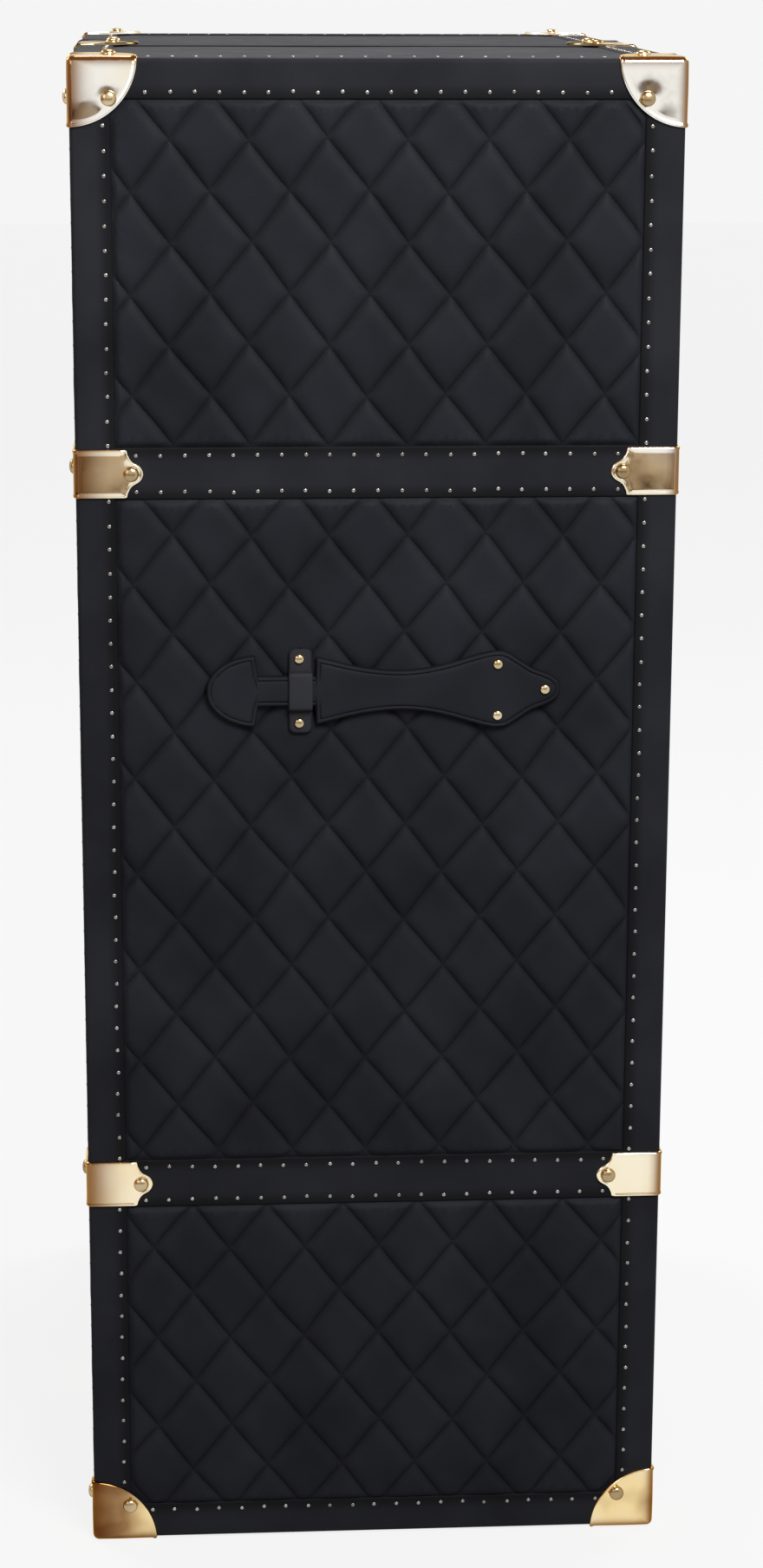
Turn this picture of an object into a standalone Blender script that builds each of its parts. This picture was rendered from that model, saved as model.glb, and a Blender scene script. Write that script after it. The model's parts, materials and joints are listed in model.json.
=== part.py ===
"""Upright bar trunk: two quilted leather half cases that open like a book on a full-height back hinge.

Metres, +Z up. The seam between the halves is the plane x = 0, the front is -Y and the hinge is on +Y.
The right half is x > 0. The trunk stands on its brass corner caps at z = 0.
"""

import math

import bmesh
import bpy
from mathutils import Matrix, Vector

# The leather case, over its binding
CASE_WIDTH = 0.720
CASE_DEPTH = 0.500
CASE_HEIGHT = 1.294
EDGE_ROUND = 0.004

# Clearances
GAP = 0.0003
RIM_GAP = 0.0003
RUN_GAP = 0.0005

# Boards and leather
BOARD = 0.012
BINDING = 0.002
QUILT_BASE = 0.0012
QUILT_CROWN = 0.0030
QUILT_GROOVE = 0.0002
BORDER = 0.033
BAND = 0.0435
BAND_FROM_END = 0.336
QUILT_TUCK = 0.008

# Diamond quilting: diamond width and height, and for each zone the height above
# the case bottom and the offset from the panel centre of one crossing
DIAMOND = (0.065, 0.083)
CROSSINGS = ((0.274, 0.0026), (0.905, 0.024), (1.229, 0.0246))
PILLOW_TOP = 0.52

# Brass caps and clamps
BRASS = 0.0012
CAP_RADIUS = 0.057
CLAMP = 0.0015
CLAMP_OUTLINE = (
    (0.0440, 0.0205),
    (0.0450, 0.0172),
    (0.0468, 0.0128),
    (0.0495, 0.0098),
    (0.0525, 0.0084),
    (0.0555, 0.0064),
    (0.0573, 0.0038),
    (0.0580, 0.0014),
)

# Strap handle, along y from the panel centre: outline as (offset, half height)
HANDLE_HEIGHT = 0.776
STRAP = 0.005
STRAP_HEAD = ((-0.1440, 0.004), (-0.1415, 0.0105), (-0.1370, 0.0167), (-0.1290, 0.0232),
              (-0.1180, 0.0280), (-0.1080, 0.0301), (-0.1010, 0.0305))
STRAP_NECK = 0.013
STRAP_NECK_END = -0.052
STRAP_BODY = ((-0.0520, 0.0290), (-0.0400, 0.0262), (-0.0220, 0.0218), (-0.0020, 0.0184),
              (0.0190, 0.0170), (0.0250, 0.0171), (0.0400, 0.0186), (0.0600, 0.0230), (0.0800, 0.0288),
              (0.0900, 0.0314), (0.1010, 0.0330), (0.1080, 0.0320), (0.1180, 0.0262), (0.1300, 0.0184),
              (0.1410, 0.0140), (0.1490, 0.0098), (0.1530, 0.0052), (0.1540, 0.0020))
STRAP_BENDS = (0.0900, 0.0250, -0.0400)
KEEPER_SPAN = (-0.075, -0.055)
KEEPER_HEIGHT = 0.073
KEEPER_LEATHER = 0.0025

# Full-height back hinge
HINGE_LEAF = 0.0015
HINGE_LEAF_WIDTH = 0.024
HINGE_KNUCKLE = 0.0041
HINGE_PIN = 0.0018
HINGE_KNUCKLES = 9
HINGE_END = 0.070

# Two hasp latches on the front
LATCH_HEIGHTS = {"upper": 0.810, "lower": 0.490}
LATCH_AXIS = 0.009
LATCH_PLATE = (0.005, 0.0295, 0.024)
LATCH_BARREL = 0.0022
LATCH_BARREL_LENGTH = 0.024
LATCH_PIN = 0.0009
HASP = 0.0018
HASP_LENGTH = 0.044
HASP_HALF = 0.015
HASP_SLOT = (0.029, 0.010, 0.022)
STUD = (0.006, 0.016)

# Inside fittings
FIT_BOARD = 0.009
FIT_BACK = 0.006
FIT_SETBACK = 0.016
DRAWER_PLINTH = 0.008
DRAWER_BAY = 0.165
GLASS_BAY = 0.330
BOTTLE_BAY = 0.380
DRAWER_WALL = 0.008
DRAWER_REAR_GAP = 0.0314
DRAWER_SIDE_GAP = 0.0015
DRAWER_TOP_GAP = 0.004
KNOB_RADIUS = 0.009
KNOB_LENGTH = 0.013
RAIL_RADIUS = 0.003
RAIL_LEVELS = (0.045, 0.120)

# Derived places
X_OUT = CASE_WIDTH / 2
Y_OUT = CASE_DEPTH / 2
Z_LOW = GAP + BRASS
Z_TOP = Z_LOW + CASE_HEIGHT
SKIN = BINDING + GAP + QUILT_BASE + GAP
PLAIN_SKIN = BINDING + GAP
BANDS = (Z_LOW + BAND_FROM_END, Z_TOP - BAND_FROM_END)
ZONES = (
    (Z_LOW + BORDER, BANDS[0] - BAND / 2),
    (BANDS[0] + BAND / 2, BANDS[1] - BAND / 2),
    (BANDS[1] + BAND / 2, Z_TOP - BORDER),
)
HINGE_AXIS = Y_OUT + GAP + HINGE_KNUCKLE
LATCH_Y = Y_OUT + GAP + HINGE_KNUCKLE
PROUD = GAP + 2 * HINGE_KNUCKLE
STRAP_LOW = X_OUT + QUILT_CROWN + GAP
INNER_Y = Y_OUT - SKIN - BOARD
INNER_LOW = Z_LOW + PLAIN_SKIN + BOARD
INNER_TOP = Z_TOP - PLAIN_SKIN - BOARD
INNER_X = X_OUT - SKIN - BOARD
FIT_LOW = INNER_LOW + GAP
FIT_TOP = INNER_TOP - GAP
FIT_Y = INNER_Y - GAP
FIT_X = INNER_X - GAP
DRAWER_LENGTH = FIT_X - FIT_BACK - DRAWER_REAR_GAP - FIT_SETBACK - RUN_GAP
HALVES = {"right": 1, "left": -1}


def clear_scene():
    """Remove everything that the scene starts with."""
    for obj in list(bpy.data.objects):
        bpy.data.objects.remove(obj)


def new_collection(name):
    """A collection in the scene."""
    made = bpy.data.collections.new(name)
    bpy.context.scene.collection.children.link(made)
    return made


def new_material(name, colour, metallic, roughness):
    """A plain Principled material."""
    made = bpy.data.materials.new(name)
    made.use_nodes = True
    shader = made.node_tree.nodes["Principled BSDF"]
    shader.inputs["Base Color"].default_value = (*colour, 1.0)
    shader.inputs["Metallic"].default_value = metallic
    shader.inputs["Roughness"].default_value = roughness
    return made


def block(low, high):
    """A box between two corners."""
    mesh = bmesh.new()
    bmesh.ops.create_cube(mesh, size=1.0)
    low = Vector(low)
    high = Vector(high)
    size = high - low
    bmesh.ops.transform(mesh, matrix=Matrix.Diagonal((*size, 1.0)), verts=mesh.verts)
    bmesh.ops.translate(mesh, vec=(low + high) / 2, verts=mesh.verts)
    return mesh


def rounded_block(low, high, radius, steps):
    """A box with all its edges rounded."""
    mesh = block(low, high)
    bmesh.ops.bevel(mesh, geom=list(mesh.edges), offset=radius, segments=steps, profile=0.5, affect="EDGES")
    return mesh


def rod(start, end, radius, sides):
    """A round bar between two points."""
    mesh = bmesh.new()
    start = Vector(start)
    end = Vector(end)
    along = end - start
    bmesh.ops.create_cone(
        mesh, cap_ends=True, segments=sides, radius1=radius, radius2=radius, depth=along.length
    )
    turn = along.to_track_quat("Z", "Y").to_matrix().to_4x4()
    bmesh.ops.transform(mesh, matrix=Matrix.Translation((start + end) / 2) @ turn, verts=mesh.verts)
    return mesh


def ball(radius, centre):
    """A sphere at a point."""
    mesh = bmesh.new()
    bmesh.ops.create_uvsphere(mesh, u_segments=32, v_segments=16, radius=radius)
    bmesh.ops.translate(mesh, vec=Vector(centre), verts=mesh.verts)
    return mesh


def prism(outline, low, high, place):
    """A closed outline of (u, v) carried from w = low to w = high; place turns (u, v, w) into a point."""
    mesh = bmesh.new()
    floor = [mesh.verts.new(place(u, v, low)) for u, v in outline]
    roof = [mesh.verts.new(place(u, v, high)) for u, v in outline]
    mesh.faces.new(floor)
    mesh.faces.new(roof)
    for i in range(len(outline)):
        j = (i + 1) % len(outline)
        mesh.faces.new((floor[i], floor[j], roof[j], roof[i]))
    bmesh.ops.recalc_face_normals(mesh, faces=mesh.faces)
    return mesh


def ribbon(columns):
    """A strip of sheet; each column holds the two low-side and the two high-side corner points."""
    mesh = bmesh.new()
    rings = [[mesh.verts.new(point) for point in column] for column in columns]
    for a, b in zip(rings, rings[1:]):
        for i in range(4):
            j = (i + 1) % 4
            mesh.faces.new((a[i], a[j], b[j], b[i]))
    mesh.faces.new(rings[0])
    mesh.faces.new(rings[-1])
    bmesh.ops.recalc_face_normals(mesh, faces=mesh.faces)
    return mesh


def holder(mesh, name):
    """A helper object that carries a mesh through a Boolean."""
    data = bpy.data.meshes.new(name)
    mesh.to_mesh(data)
    mesh.free()
    obj = bpy.data.objects.new(name, data)
    bpy.context.scene.collection.objects.link(obj)
    return obj


def combine(mesh, others, operation):
    """The first mesh joined with, cut by or kept inside each of the others."""
    base = holder(mesh, "base")
    helpers = [holder(other, "helper") for other in others]
    for helper in helpers:
        step = base.modifiers.new("step", "BOOLEAN")
        step.operation = operation
        step.solver = "EXACT"
        step.object = helper
    graph = bpy.context.evaluated_depsgraph_get()
    shaped = base.evaluated_get(graph)
    result = bmesh.new()
    result.from_mesh(shaped.to_mesh())
    shaped.to_mesh_clear()
    for obj in (base, *helpers):
        data = obj.data
        bpy.data.objects.remove(obj)
        bpy.data.meshes.remove(data)
    bmesh.ops.remove_doubles(result, verts=result.verts, dist=1e-6)
    return result


def flipped(mesh, signs, origin=(0.0, 0.0, 0.0)):
    """The mesh mirrored by the signs of each axis, then moved to an origin."""
    bmesh.ops.transform(mesh, matrix=Matrix.Diagonal((*signs, 1.0)), verts=mesh.verts)
    if signs[0] * signs[1] * signs[2] < 0:
        bmesh.ops.reverse_faces(mesh, faces=mesh.faces)
    bmesh.ops.translate(mesh, vec=Vector(origin), verts=mesh.verts)
    return mesh


def add_node(name, mesh, finish, origin=(0.0, 0.0, 0.0)):
    """A named sub-part whose origin is at a point of the world."""
    bmesh.ops.translate(mesh, vec=-Vector(origin), verts=mesh.verts)
    data = bpy.data.meshes.new(name)
    mesh.to_mesh(data)
    mesh.free()
    data.materials.append(finish)
    obj = bpy.data.objects.new(name, data)
    obj.location = origin
    PARTS.objects.link(obj)
    return obj


def carcase():
    """One half's open box of boards, in the right half's place."""
    outer = block(
        (RIM_GAP, -(Y_OUT - SKIN), Z_LOW + PLAIN_SKIN),
        (X_OUT - SKIN, Y_OUT - SKIN, Z_TOP - PLAIN_SKIN),
    )
    hollow = block((-BOARD, -INNER_Y, INNER_LOW), (INNER_X, INNER_Y, INNER_TOP))
    return combine(outer, [hollow], "DIFFERENCE")


def binding():
    """The leather strips over one half's edges, with its two bands."""
    outer = rounded_block((-BORDER, -Y_OUT, Z_LOW), (X_OUT, Y_OUT, Z_TOP), EDGE_ROUND, 3)
    cutters = [
        block((-1.0, -1.0, -1.0), (RIM_GAP, 1.0, 2.0)),
        block(
            (-BOARD, -(Y_OUT - BINDING), Z_LOW + BINDING),
            (X_OUT - BINDING, Y_OUT - BINDING, Z_TOP - BINDING),
        ),
    ]
    rim = RIM_GAP + BORDER
    side = X_OUT - BORDER
    reach = 2 * BORDER
    for low, high in ZONES:
        cutters.append(block((side, -(Y_OUT - BORDER), low), (X_OUT + reach, Y_OUT - BORDER, high)))
        cutters.append(block((rim, -(Y_OUT + reach), low), (side, Y_OUT + reach, high)))
    cutters.append(block((rim, -(Y_OUT - BORDER), -reach), (side, Y_OUT - BORDER, Z_TOP + reach)))
    return combine(outer, cutters, "DIFFERENCE")


def quilt_field(low, high, crossing, crowned):
    """Padded diamonds over the rectangle low..high of (u, v), drawn in along its edges; w is outward."""
    mesh = bmesh.new()
    wide, tall = DIAMOND
    corners = {}

    def corner(a, b):
        if (a, b) not in corners:
            u = crossing[0] + a * wide / 2
            v = crossing[1] + b * tall / 2
            corners[a, b] = mesh.verts.new((u, v, QUILT_GROOVE))
        return corners[a, b]

    def steps(axis, size):
        first = math.floor((low[axis] - crossing[axis]) / size * 2) - 2
        last = math.ceil((high[axis] - crossing[axis]) / size * 2) + 2
        return range(first, last)

    for a in steps(0, wide):
        for b in steps(1, tall):
            if (a + b) % 2 == 0:
                continue
            rim = [corner(a - 1, b), corner(a, b - 1), corner(a + 1, b), corner(a, b + 1)]
            centre = Vector((crossing[0] + a * wide / 2, crossing[1] + b * tall / 2, QUILT_CROWN))
            if not crowned:
                peak = mesh.verts.new(centre)
                for i in range(4):
                    mesh.faces.new((rim[i], rim[(i + 1) % 4], peak))
                continue
            top = []
            for vert in rim:
                point = centre.lerp(vert.co, PILLOW_TOP)
                top.append(mesh.verts.new((point.x, point.y, QUILT_CROWN)))
            for i in range(4):
                j = (i + 1) % 4
                mesh.faces.new((rim[i], rim[j], top[j], top[i]))
            mesh.faces.new(top)
    for axis, value, way in ((0, low[0], -1), (0, high[0], 1), (1, low[1], -1), (1, high[1], 1)):
        point = [0.0, 0.0, 0.0]
        point[axis] = value
        normal = [0.0, 0.0, 0.0]
        normal[axis] = way
        everything = list(mesh.verts) + list(mesh.edges) + list(mesh.faces)
        bmesh.ops.bisect_plane(
            mesh, geom=everything, plane_co=point, plane_no=normal, clear_outer=True, dist=1e-5
        )
    bmesh.ops.remove_doubles(mesh, verts=mesh.verts, dist=5e-5)
    sides = [edge for edge in mesh.edges if edge.is_boundary]
    for vert in {vert for edge in sides for vert in edge.verts}:
        vert.co.z = QUILT_GROOVE
    grown = bmesh.ops.extrude_edge_only(mesh, edges=sides)["geom"]
    for item in grown:
        if isinstance(item, bmesh.types.BMVert):
            item.co.z = -(BINDING + GAP + QUILT_BASE / 2)
    bmesh.ops.holes_fill(mesh, edges=[edge for edge in mesh.edges if edge.is_boundary], sides=0)
    bmesh.ops.recalc_face_normals(mesh, faces=mesh.faces)
    return mesh


def quilt(low, high, crossings, crowned, place):
    """One quilted panel between two edges of the case.

    A flat sheet lies under the leather strips. The padding rises in each window and stops at the caps.
    """
    floor = -(BINDING + GAP + QUILT_BASE)
    sheet = block(
        (low + QUILT_TUCK, Z_LOW + QUILT_TUCK, floor),
        (high - QUILT_TUCK, Z_TOP - QUILT_TUCK, -(BINDING + GAP)),
    )
    fields = []
    for (bottom, top), (height, offset) in zip(ZONES, crossings):
        field = quilt_field(
            (low + BORDER + RUN_GAP, bottom + RUN_GAP),
            (high - BORDER - RUN_GAP, top - RUN_GAP),
            (offset, Z_LOW + height),
            crowned,
        )
        ends = [end for end in (Z_LOW, Z_TOP) if min(abs(end - bottom), abs(end - top)) < CAP_RADIUS]
        covered = [ball(CAP_RADIUS + 2 * RUN_GAP, (edge, end, 0.0)) for edge in (low, high) for end in ends]
        fields.append(combine(field, covered, "DIFFERENCE"))
    mesh = combine(sheet, fields, "UNION")
    bmesh.ops.transform(mesh, matrix=place, verts=mesh.verts)
    return mesh


def side_quilt():
    """The quilted panel of the narrow side; its u runs along y and its face looks along +x."""
    place = Matrix(((0, 0, 1, X_OUT), (1, 0, 0, 0), (0, 1, 0, 0), (0, 0, 0, 1)))
    return quilt(-Y_OUT, Y_OUT, CROSSINGS, True, place)


def front_quilt():
    """The quilted panel of half the front; its u runs along x and its face looks along -y."""
    place = Matrix(((1, 0, 0, 0), (0, 0, -1, -Y_OUT), (0, 1, 0, 0), (0, 0, 0, 1)))
    crossings = [(height, X_OUT / 2) for height, _ in CROSSINGS]
    return quilt(RIM_GAP, X_OUT, crossings, False, place)


def cap(three_sided):
    """A brass corner cap with its corner at the origin and its sheet over the planes x, y and z = 0.

    A rim cap has no sheet over the x plane: the seam is there.
    """
    far = 4 * CAP_RADIUS
    start = -far if not three_sided else -(GAP + BRASS)
    inner_start = -2 * far if not three_sided else -GAP
    outer = rounded_block((start, -(GAP + BRASS), -(GAP + BRASS)), (far, far, far), EDGE_ROUND + BRASS, 2)
    inner = rounded_block((inner_start, -GAP, -GAP), (2 * far, 2 * far, 2 * far), EDGE_ROUND, 2)
    shell = combine(outer, [inner], "DIFFERENCE")
    mesh = combine(shell, [ball(CAP_RADIUS, (0.0, 0.0, 0.0))], "INTERSECT")
    if not three_sided:
        mesh = combine(mesh, [block((-far, -far, -far), (RIM_GAP, far, far))], "DIFFERENCE")
    return mesh


def clamp():
    """A brass edge clamp round the vertical edge at x = y = 0, with a leg over each of the planes."""
    inside = EDGE_ROUND + GAP
    columns = []

    def column(face, normal, half):
        low = Vector((*face, 0.0))
        high = low + CLAMP * Vector((*normal, 0.0))
        up = Vector((0.0, 0.0, half))
        columns.append((low - up, low + up, high + up, high - up))

    for along, half in reversed(CLAMP_OUTLINE):
        column((-GAP, along), (-1.0, 0.0), half)
    steps = 4
    for i in range(steps + 1):
        turn = math.pi / 2 * i / steps
        way = (-math.cos(turn), -math.sin(turn))
        column((EDGE_ROUND + inside * way[0], EDGE_ROUND + inside * way[1]), way, CLAMP_OUTLINE[0][1])
    for along, half in CLAMP_OUTLINE:
        column((along, -GAP), (0.0, -1.0), half)
    return ribbon(columns)


def strap_piece(outline):
    """A flat piece of the strap from (offset, half height) pairs."""
    columns = []
    for along, half in outline:
        low = HANDLE_HEIGHT - half
        high = HANDLE_HEIGHT + half
        columns.append(
            (
                (STRAP_LOW, along, low),
                (STRAP_LOW, along, high),
                (STRAP_LOW + STRAP, along, high),
                (STRAP_LOW + STRAP, along, low),
            )
        )
    return ribbon(columns)


def strap_body_between(start, end):
    """The body outline between two offsets that are among its points, less half a gap at a bend."""
    kept = [list(pair) for pair in STRAP_BODY if start - 1e-9 <= pair[0] <= end + 1e-9]
    if start in STRAP_BENDS:
        kept[0][0] += GAP / 2
    if end in STRAP_BENDS:
        kept[-1][0] -= GAP / 2
    return kept


def strap_end():
    """The sliding end of the strap: its rounded head, the neck under the keeper and the shoulder."""
    step = 2 * GAP
    head_end = STRAP_HEAD[-1][0]
    outline = list(STRAP_HEAD)
    outline += [(head_end + step, STRAP_NECK), (STRAP_NECK_END - step, STRAP_NECK)]
    outline += strap_body_between(STRAP_NECK_END, STRAP_BENDS[2])
    return strap_piece(outline)


def keeper():
    """The leather bridge that holds the neck of the strap."""
    foot_low = STRAP_LOW
    arch = STRAP_LOW + STRAP + RUN_GAP
    inner = STRAP_NECK + RUN_GAP
    outer = inner + KEEPER_LEATHER
    end = KEEPER_HEIGHT / 2
    soft = KEEPER_LEATHER / 2
    half = [
        (end, foot_low),
        (end, foot_low + KEEPER_LEATHER),
        (outer + soft, foot_low + KEEPER_LEATHER),
        (outer, foot_low + KEEPER_LEATHER + soft),
        (outer, arch + soft),
        (outer - soft, arch + KEEPER_LEATHER),
    ]
    under = [(inner, foot_low), (inner, arch)]
    profile = [(v, x) for v, x in half]
    profile += [(-v, x) for v, x in reversed(half)]
    profile += [(-v, x) for v, x in under]
    profile += [(v, x) for v, x in reversed(under)]
    return prism(
        profile, KEEPER_SPAN[0], KEEPER_SPAN[1], lambda v, x, along: (x, along, HANDLE_HEIGHT + v)
    )


def hinge_spans(owner):
    """The heights of one leaf's knuckles; the right leaf has the odd ones with both ends."""
    low = Z_LOW + HINGE_END
    pitch = (CASE_HEIGHT - 2 * HINGE_END) / HINGE_KNUCKLES
    first = 0 if owner == "right" else 1
    return [
        (low + i * pitch + RUN_GAP / 2, low + (i + 1) * pitch - RUN_GAP / 2)
        for i in range(first, HINGE_KNUCKLES, 2)
    ]


def hinge_leaf(owner):
    """A full-height leaf with its knuckles, in the right half's place."""
    back = Y_OUT + GAP
    clear = HINGE_KNUCKLE + 2 * RUN_GAP
    low = Z_LOW + HINGE_END
    high = Z_TOP - HINGE_END
    leaf = block((clear, back, low), (HINGE_LEAF_WIDTH, back + HINGE_LEAF, high))
    joins = []
    for start, end in hinge_spans(owner):
        web = (back + GAP / 2, back + HINGE_LEAF - GAP / 2)
        joins.append(block((0.0, web[0], start + GAP), (2 * clear, web[1], end - GAP)))
        joins.append(rod((0.0, HINGE_AXIS, start), (0.0, HINGE_AXIS, end), HINGE_KNUCKLE, 14))
    mesh = combine(leaf, joins, "UNION")
    bore = rod((0.0, HINGE_AXIS, low - BORDER), (0.0, HINGE_AXIS, high + BORDER), HINGE_PIN + 1.5 * GAP, 12)
    return combine(mesh, [bore], "DIFFERENCE")


def latch_plate(height):
    """The plate on the front of the right half with the two ears and the pin of its hasp."""
    face = -(Y_OUT + GAP)
    start, end, half = LATCH_PLATE
    plate = block((start, face - HINGE_LEAF, height - half), (end, face, height + half))
    ear_low = LATCH_BARREL_LENGTH / 2 + RUN_GAP
    joins = []
    for way in (-1, 1):
        ends = sorted((height + way * ear_low, height + way * half))
        low = (LATCH_AXIS, -LATCH_Y, ends[0])
        high = (LATCH_AXIS, -LATCH_Y, ends[1])
        joins.append(rod(low, high, LATCH_BARREL, 12))
        joins.append(
            block(
                (LATCH_AXIS - LATCH_BARREL * 0.6, -LATCH_Y, ends[0] + GAP),
                (LATCH_AXIS + LATCH_BARREL * 0.6, face - HINGE_LEAF / 2, ends[1] - GAP),
            )
        )
    joins.append(
        rod(
            (LATCH_AXIS, -LATCH_Y, height - half + RUN_GAP),
            (LATCH_AXIS, -LATCH_Y, height + half - RUN_GAP),
            LATCH_PIN,
            10,
        )
    )
    return combine(plate, joins, "UNION")


def hasp(height):
    """The swinging hasp, folded back over the right half."""
    barrel = rod(
        (LATCH_AXIS, -LATCH_Y, height - LATCH_BARREL_LENGTH / 2),
        (LATCH_AXIS, -LATCH_Y, height + LATCH_BARREL_LENGTH / 2),
        LATCH_BARREL,
        12,
    )
    nose = 0.35 * HASP_HALF
    outline = [
        (0.0, -LATCH_BARREL_LENGTH / 2 + GAP),
        (2 * LATCH_BARREL, -LATCH_BARREL_LENGTH / 2 + GAP),
        (3 * LATCH_BARREL, -HASP_HALF),
        (HASP_LENGTH - nose, -HASP_HALF),
        (HASP_LENGTH - 0.3 * nose, -HASP_HALF + 0.3 * nose),
        (HASP_LENGTH, -HASP_HALF + nose),
    ]
    outline += [(u, -v) for u, v in reversed(outline)]

    def place(u, v, w):
        return (LATCH_AXIS + u, -LATCH_Y + w, height + v)

    plate = prism(outline, -HASP / 2, HASP / 2, place)
    mesh = combine(barrel, [plate], "UNION")
    far, wide, tall = HASP_SLOT
    slot = prism(
        [
            (far - wide / 2, -tall / 2),
            (far + wide / 2, -tall / 2),
            (far + wide / 2, tall / 2),
            (far - wide / 2, tall / 2),
        ],
        -4 * HASP,
        4 * HASP,
        place,
    )
    bore = rod(
        (LATCH_AXIS, -LATCH_Y, height - LATCH_BARREL_LENGTH),
        (LATCH_AXIS, -LATCH_Y, height + LATCH_BARREL_LENGTH),
        LATCH_PIN + 1.5 * GAP,
        10,
    )
    return combine(mesh, [slot, bore], "DIFFERENCE")


def staple(height):
    """The plate on the front of the left half with the stud that the hasp drops over."""
    face = -(Y_OUT + GAP)
    start, end, half = LATCH_PLATE
    place = HASP_SLOT[0] - LATCH_AXIS
    plate = block((-end, face - HINGE_LEAF, height - half), (-start, face, height + half))
    stud = rounded_block(
        (-place - STUD[0] / 2, -(Y_OUT + PROUD), height - STUD[1] / 2),
        (-place + STUD[0] / 2, face - HINGE_LEAF / 2, height + STUD[1] / 2),
        0.2 * STUD[0],
        1,
    )
    return combine(plate, [stud], "UNION")


def fitment(bays):
    """A lining cabinet with bays open to the seam, from (low, high) heights, in the right half's place."""
    body = block((FIT_SETBACK, -FIT_Y, FIT_LOW), (FIT_X, FIT_Y, FIT_TOP))
    hollows = [
        block((-FIT_SETBACK, -(FIT_Y - FIT_BOARD), low), (FIT_X - FIT_BACK, FIT_Y - FIT_BOARD, high))
        for low, high in bays
    ]
    return combine(body, hollows, "DIFFERENCE")


def right_bays():
    """Two drawer bays on a plinth at the bottom, then a glass bay, then the rest."""
    low = FIT_LOW + FIT_BOARD + DRAWER_PLINTH
    bays = []
    for tall in (DRAWER_BAY, DRAWER_BAY, GLASS_BAY):
        bays.append((low, low + tall))
        low += tall + FIT_BOARD
    bays.append((low, FIT_TOP - FIT_BOARD))
    return bays


def left_bays():
    """A tall bay that leaves room for the drawers, then two bottle bays."""
    high = FIT_TOP - FIT_BOARD
    bays = []
    for tall in (BOTTLE_BAY, BOTTLE_BAY):
        bays.insert(0, (high - tall, high))
        high -= tall + FIT_BOARD
    bays.insert(0, (FIT_LOW + FIT_BOARD, high))
    return bays


def drawer(bay):
    """An open box that slides out of its bay."""
    low, high = bay
    half = FIT_Y - FIT_BOARD - DRAWER_SIDE_GAP
    floor = low + RUN_GAP
    roof = high - DRAWER_TOP_GAP
    start = FIT_SETBACK + RUN_GAP
    box = block((start, -half, floor), (start + DRAWER_LENGTH, half, roof))
    hollow = block(
        (start + DRAWER_WALL, -(half - DRAWER_WALL), floor + DRAWER_WALL),
        (start + DRAWER_LENGTH - DRAWER_WALL, half - DRAWER_WALL, roof + DRAWER_WALL),
    )
    return combine(box, [hollow], "DIFFERENCE")


def knob(bay):
    """A turned knob on a drawer front."""
    height = sum(bay) / 2
    start = FIT_SETBACK + RUN_GAP - GAP
    neck = [(0.0, 0.55), (0.18, 0.42), (0.45, 0.40)]
    profile = neck + [(0.62, 0.90), (0.78, 1.0), (0.94, 0.80), (1.0, 0.40)]
    sides = 12
    mesh = bmesh.new()
    rings = []
    for along, wide in profile:
        x = start - along * KNOB_LENGTH
        ring = []
        for i in range(sides):
            turn = 2 * math.pi * i / sides
            y = KNOB_RADIUS * wide * math.cos(turn)
            z = height + KNOB_RADIUS * wide * math.sin(turn)
            ring.append(mesh.verts.new((x, y, z)))
        rings.append(ring)
    for a, b in zip(rings, rings[1:]):
        for i in range(sides):
            j = (i + 1) % sides
            mesh.faces.new((a[i], a[j], b[j], b[i]))
    mesh.faces.new(rings[0])
    mesh.faces.new(rings[-1])
    bmesh.ops.recalc_face_normals(mesh, faces=mesh.faces)
    return mesh


def bottle_guard():
    """The brass ladder of rails across the bottle bays, in the left half's place."""
    x = -(FIT_SETBACK - GAP - RAIL_RADIUS)
    y = FIT_Y - FIT_BOARD / 2
    bays = left_bays()[1:]
    levels = [low + level for low, _ in bays for level in RAIL_LEVELS]
    low = bays[0][0]
    high = levels[-1] + 3 * RAIL_RADIUS
    posts = [rod((x, way * y, low), (x, way * y, high), RAIL_RADIUS, 10) for way in (-1, 1)]
    rails = [rod((x, -y, level), (x, y, level), 0.8 * RAIL_RADIUS, 8) for level in levels]
    return combine(posts[0], [*rails, posts[1]], "UNION")


def build_half(side, sign):
    """The case, leather and brass of one half."""
    half = (sign, 1, 1)
    add_node(f"{side}_carcase", flipped(carcase(), half), FINISH["board"])
    add_node(f"{side}_binding", flipped(binding(), half), FINISH["leather"])
    add_node(f"{side}_side_quilt", flipped(side_quilt(), half), FINISH["quilt"])
    add_node(f"{side}_front_quilt", flipped(front_quilt(), half), FINISH["quilt"])
    add_node(f"{side}_back_quilt", flipped(front_quilt(), (sign, -1, 1)), FINISH["quilt"])
    for face, way in (("front", 1), ("back", -1)):
        for level, up in (("top", -1), ("bottom", 1)):
            height = Z_LOW if up > 0 else Z_TOP
            corner = flipped(cap(True), (-sign, way, up), (sign * X_OUT, -way * Y_OUT, height))
            add_node(f"{side}_{face}_{level}_cap", corner, FINISH["brass"])
            rim = flipped(cap(False), (sign, way, up), (0.0, -way * Y_OUT, height))
            add_node(f"{side}_{face}_{level}_rim_cap", rim, FINISH["brass"])
        for level, height in (("lower", BANDS[0]), ("upper", BANDS[1])):
            piece = flipped(clamp(), (-sign, way, 1), (sign * X_OUT, -way * Y_OUT, height))
            add_node(f"{side}_{face}_{level}_clamp", piece, FINISH["brass"])


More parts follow.
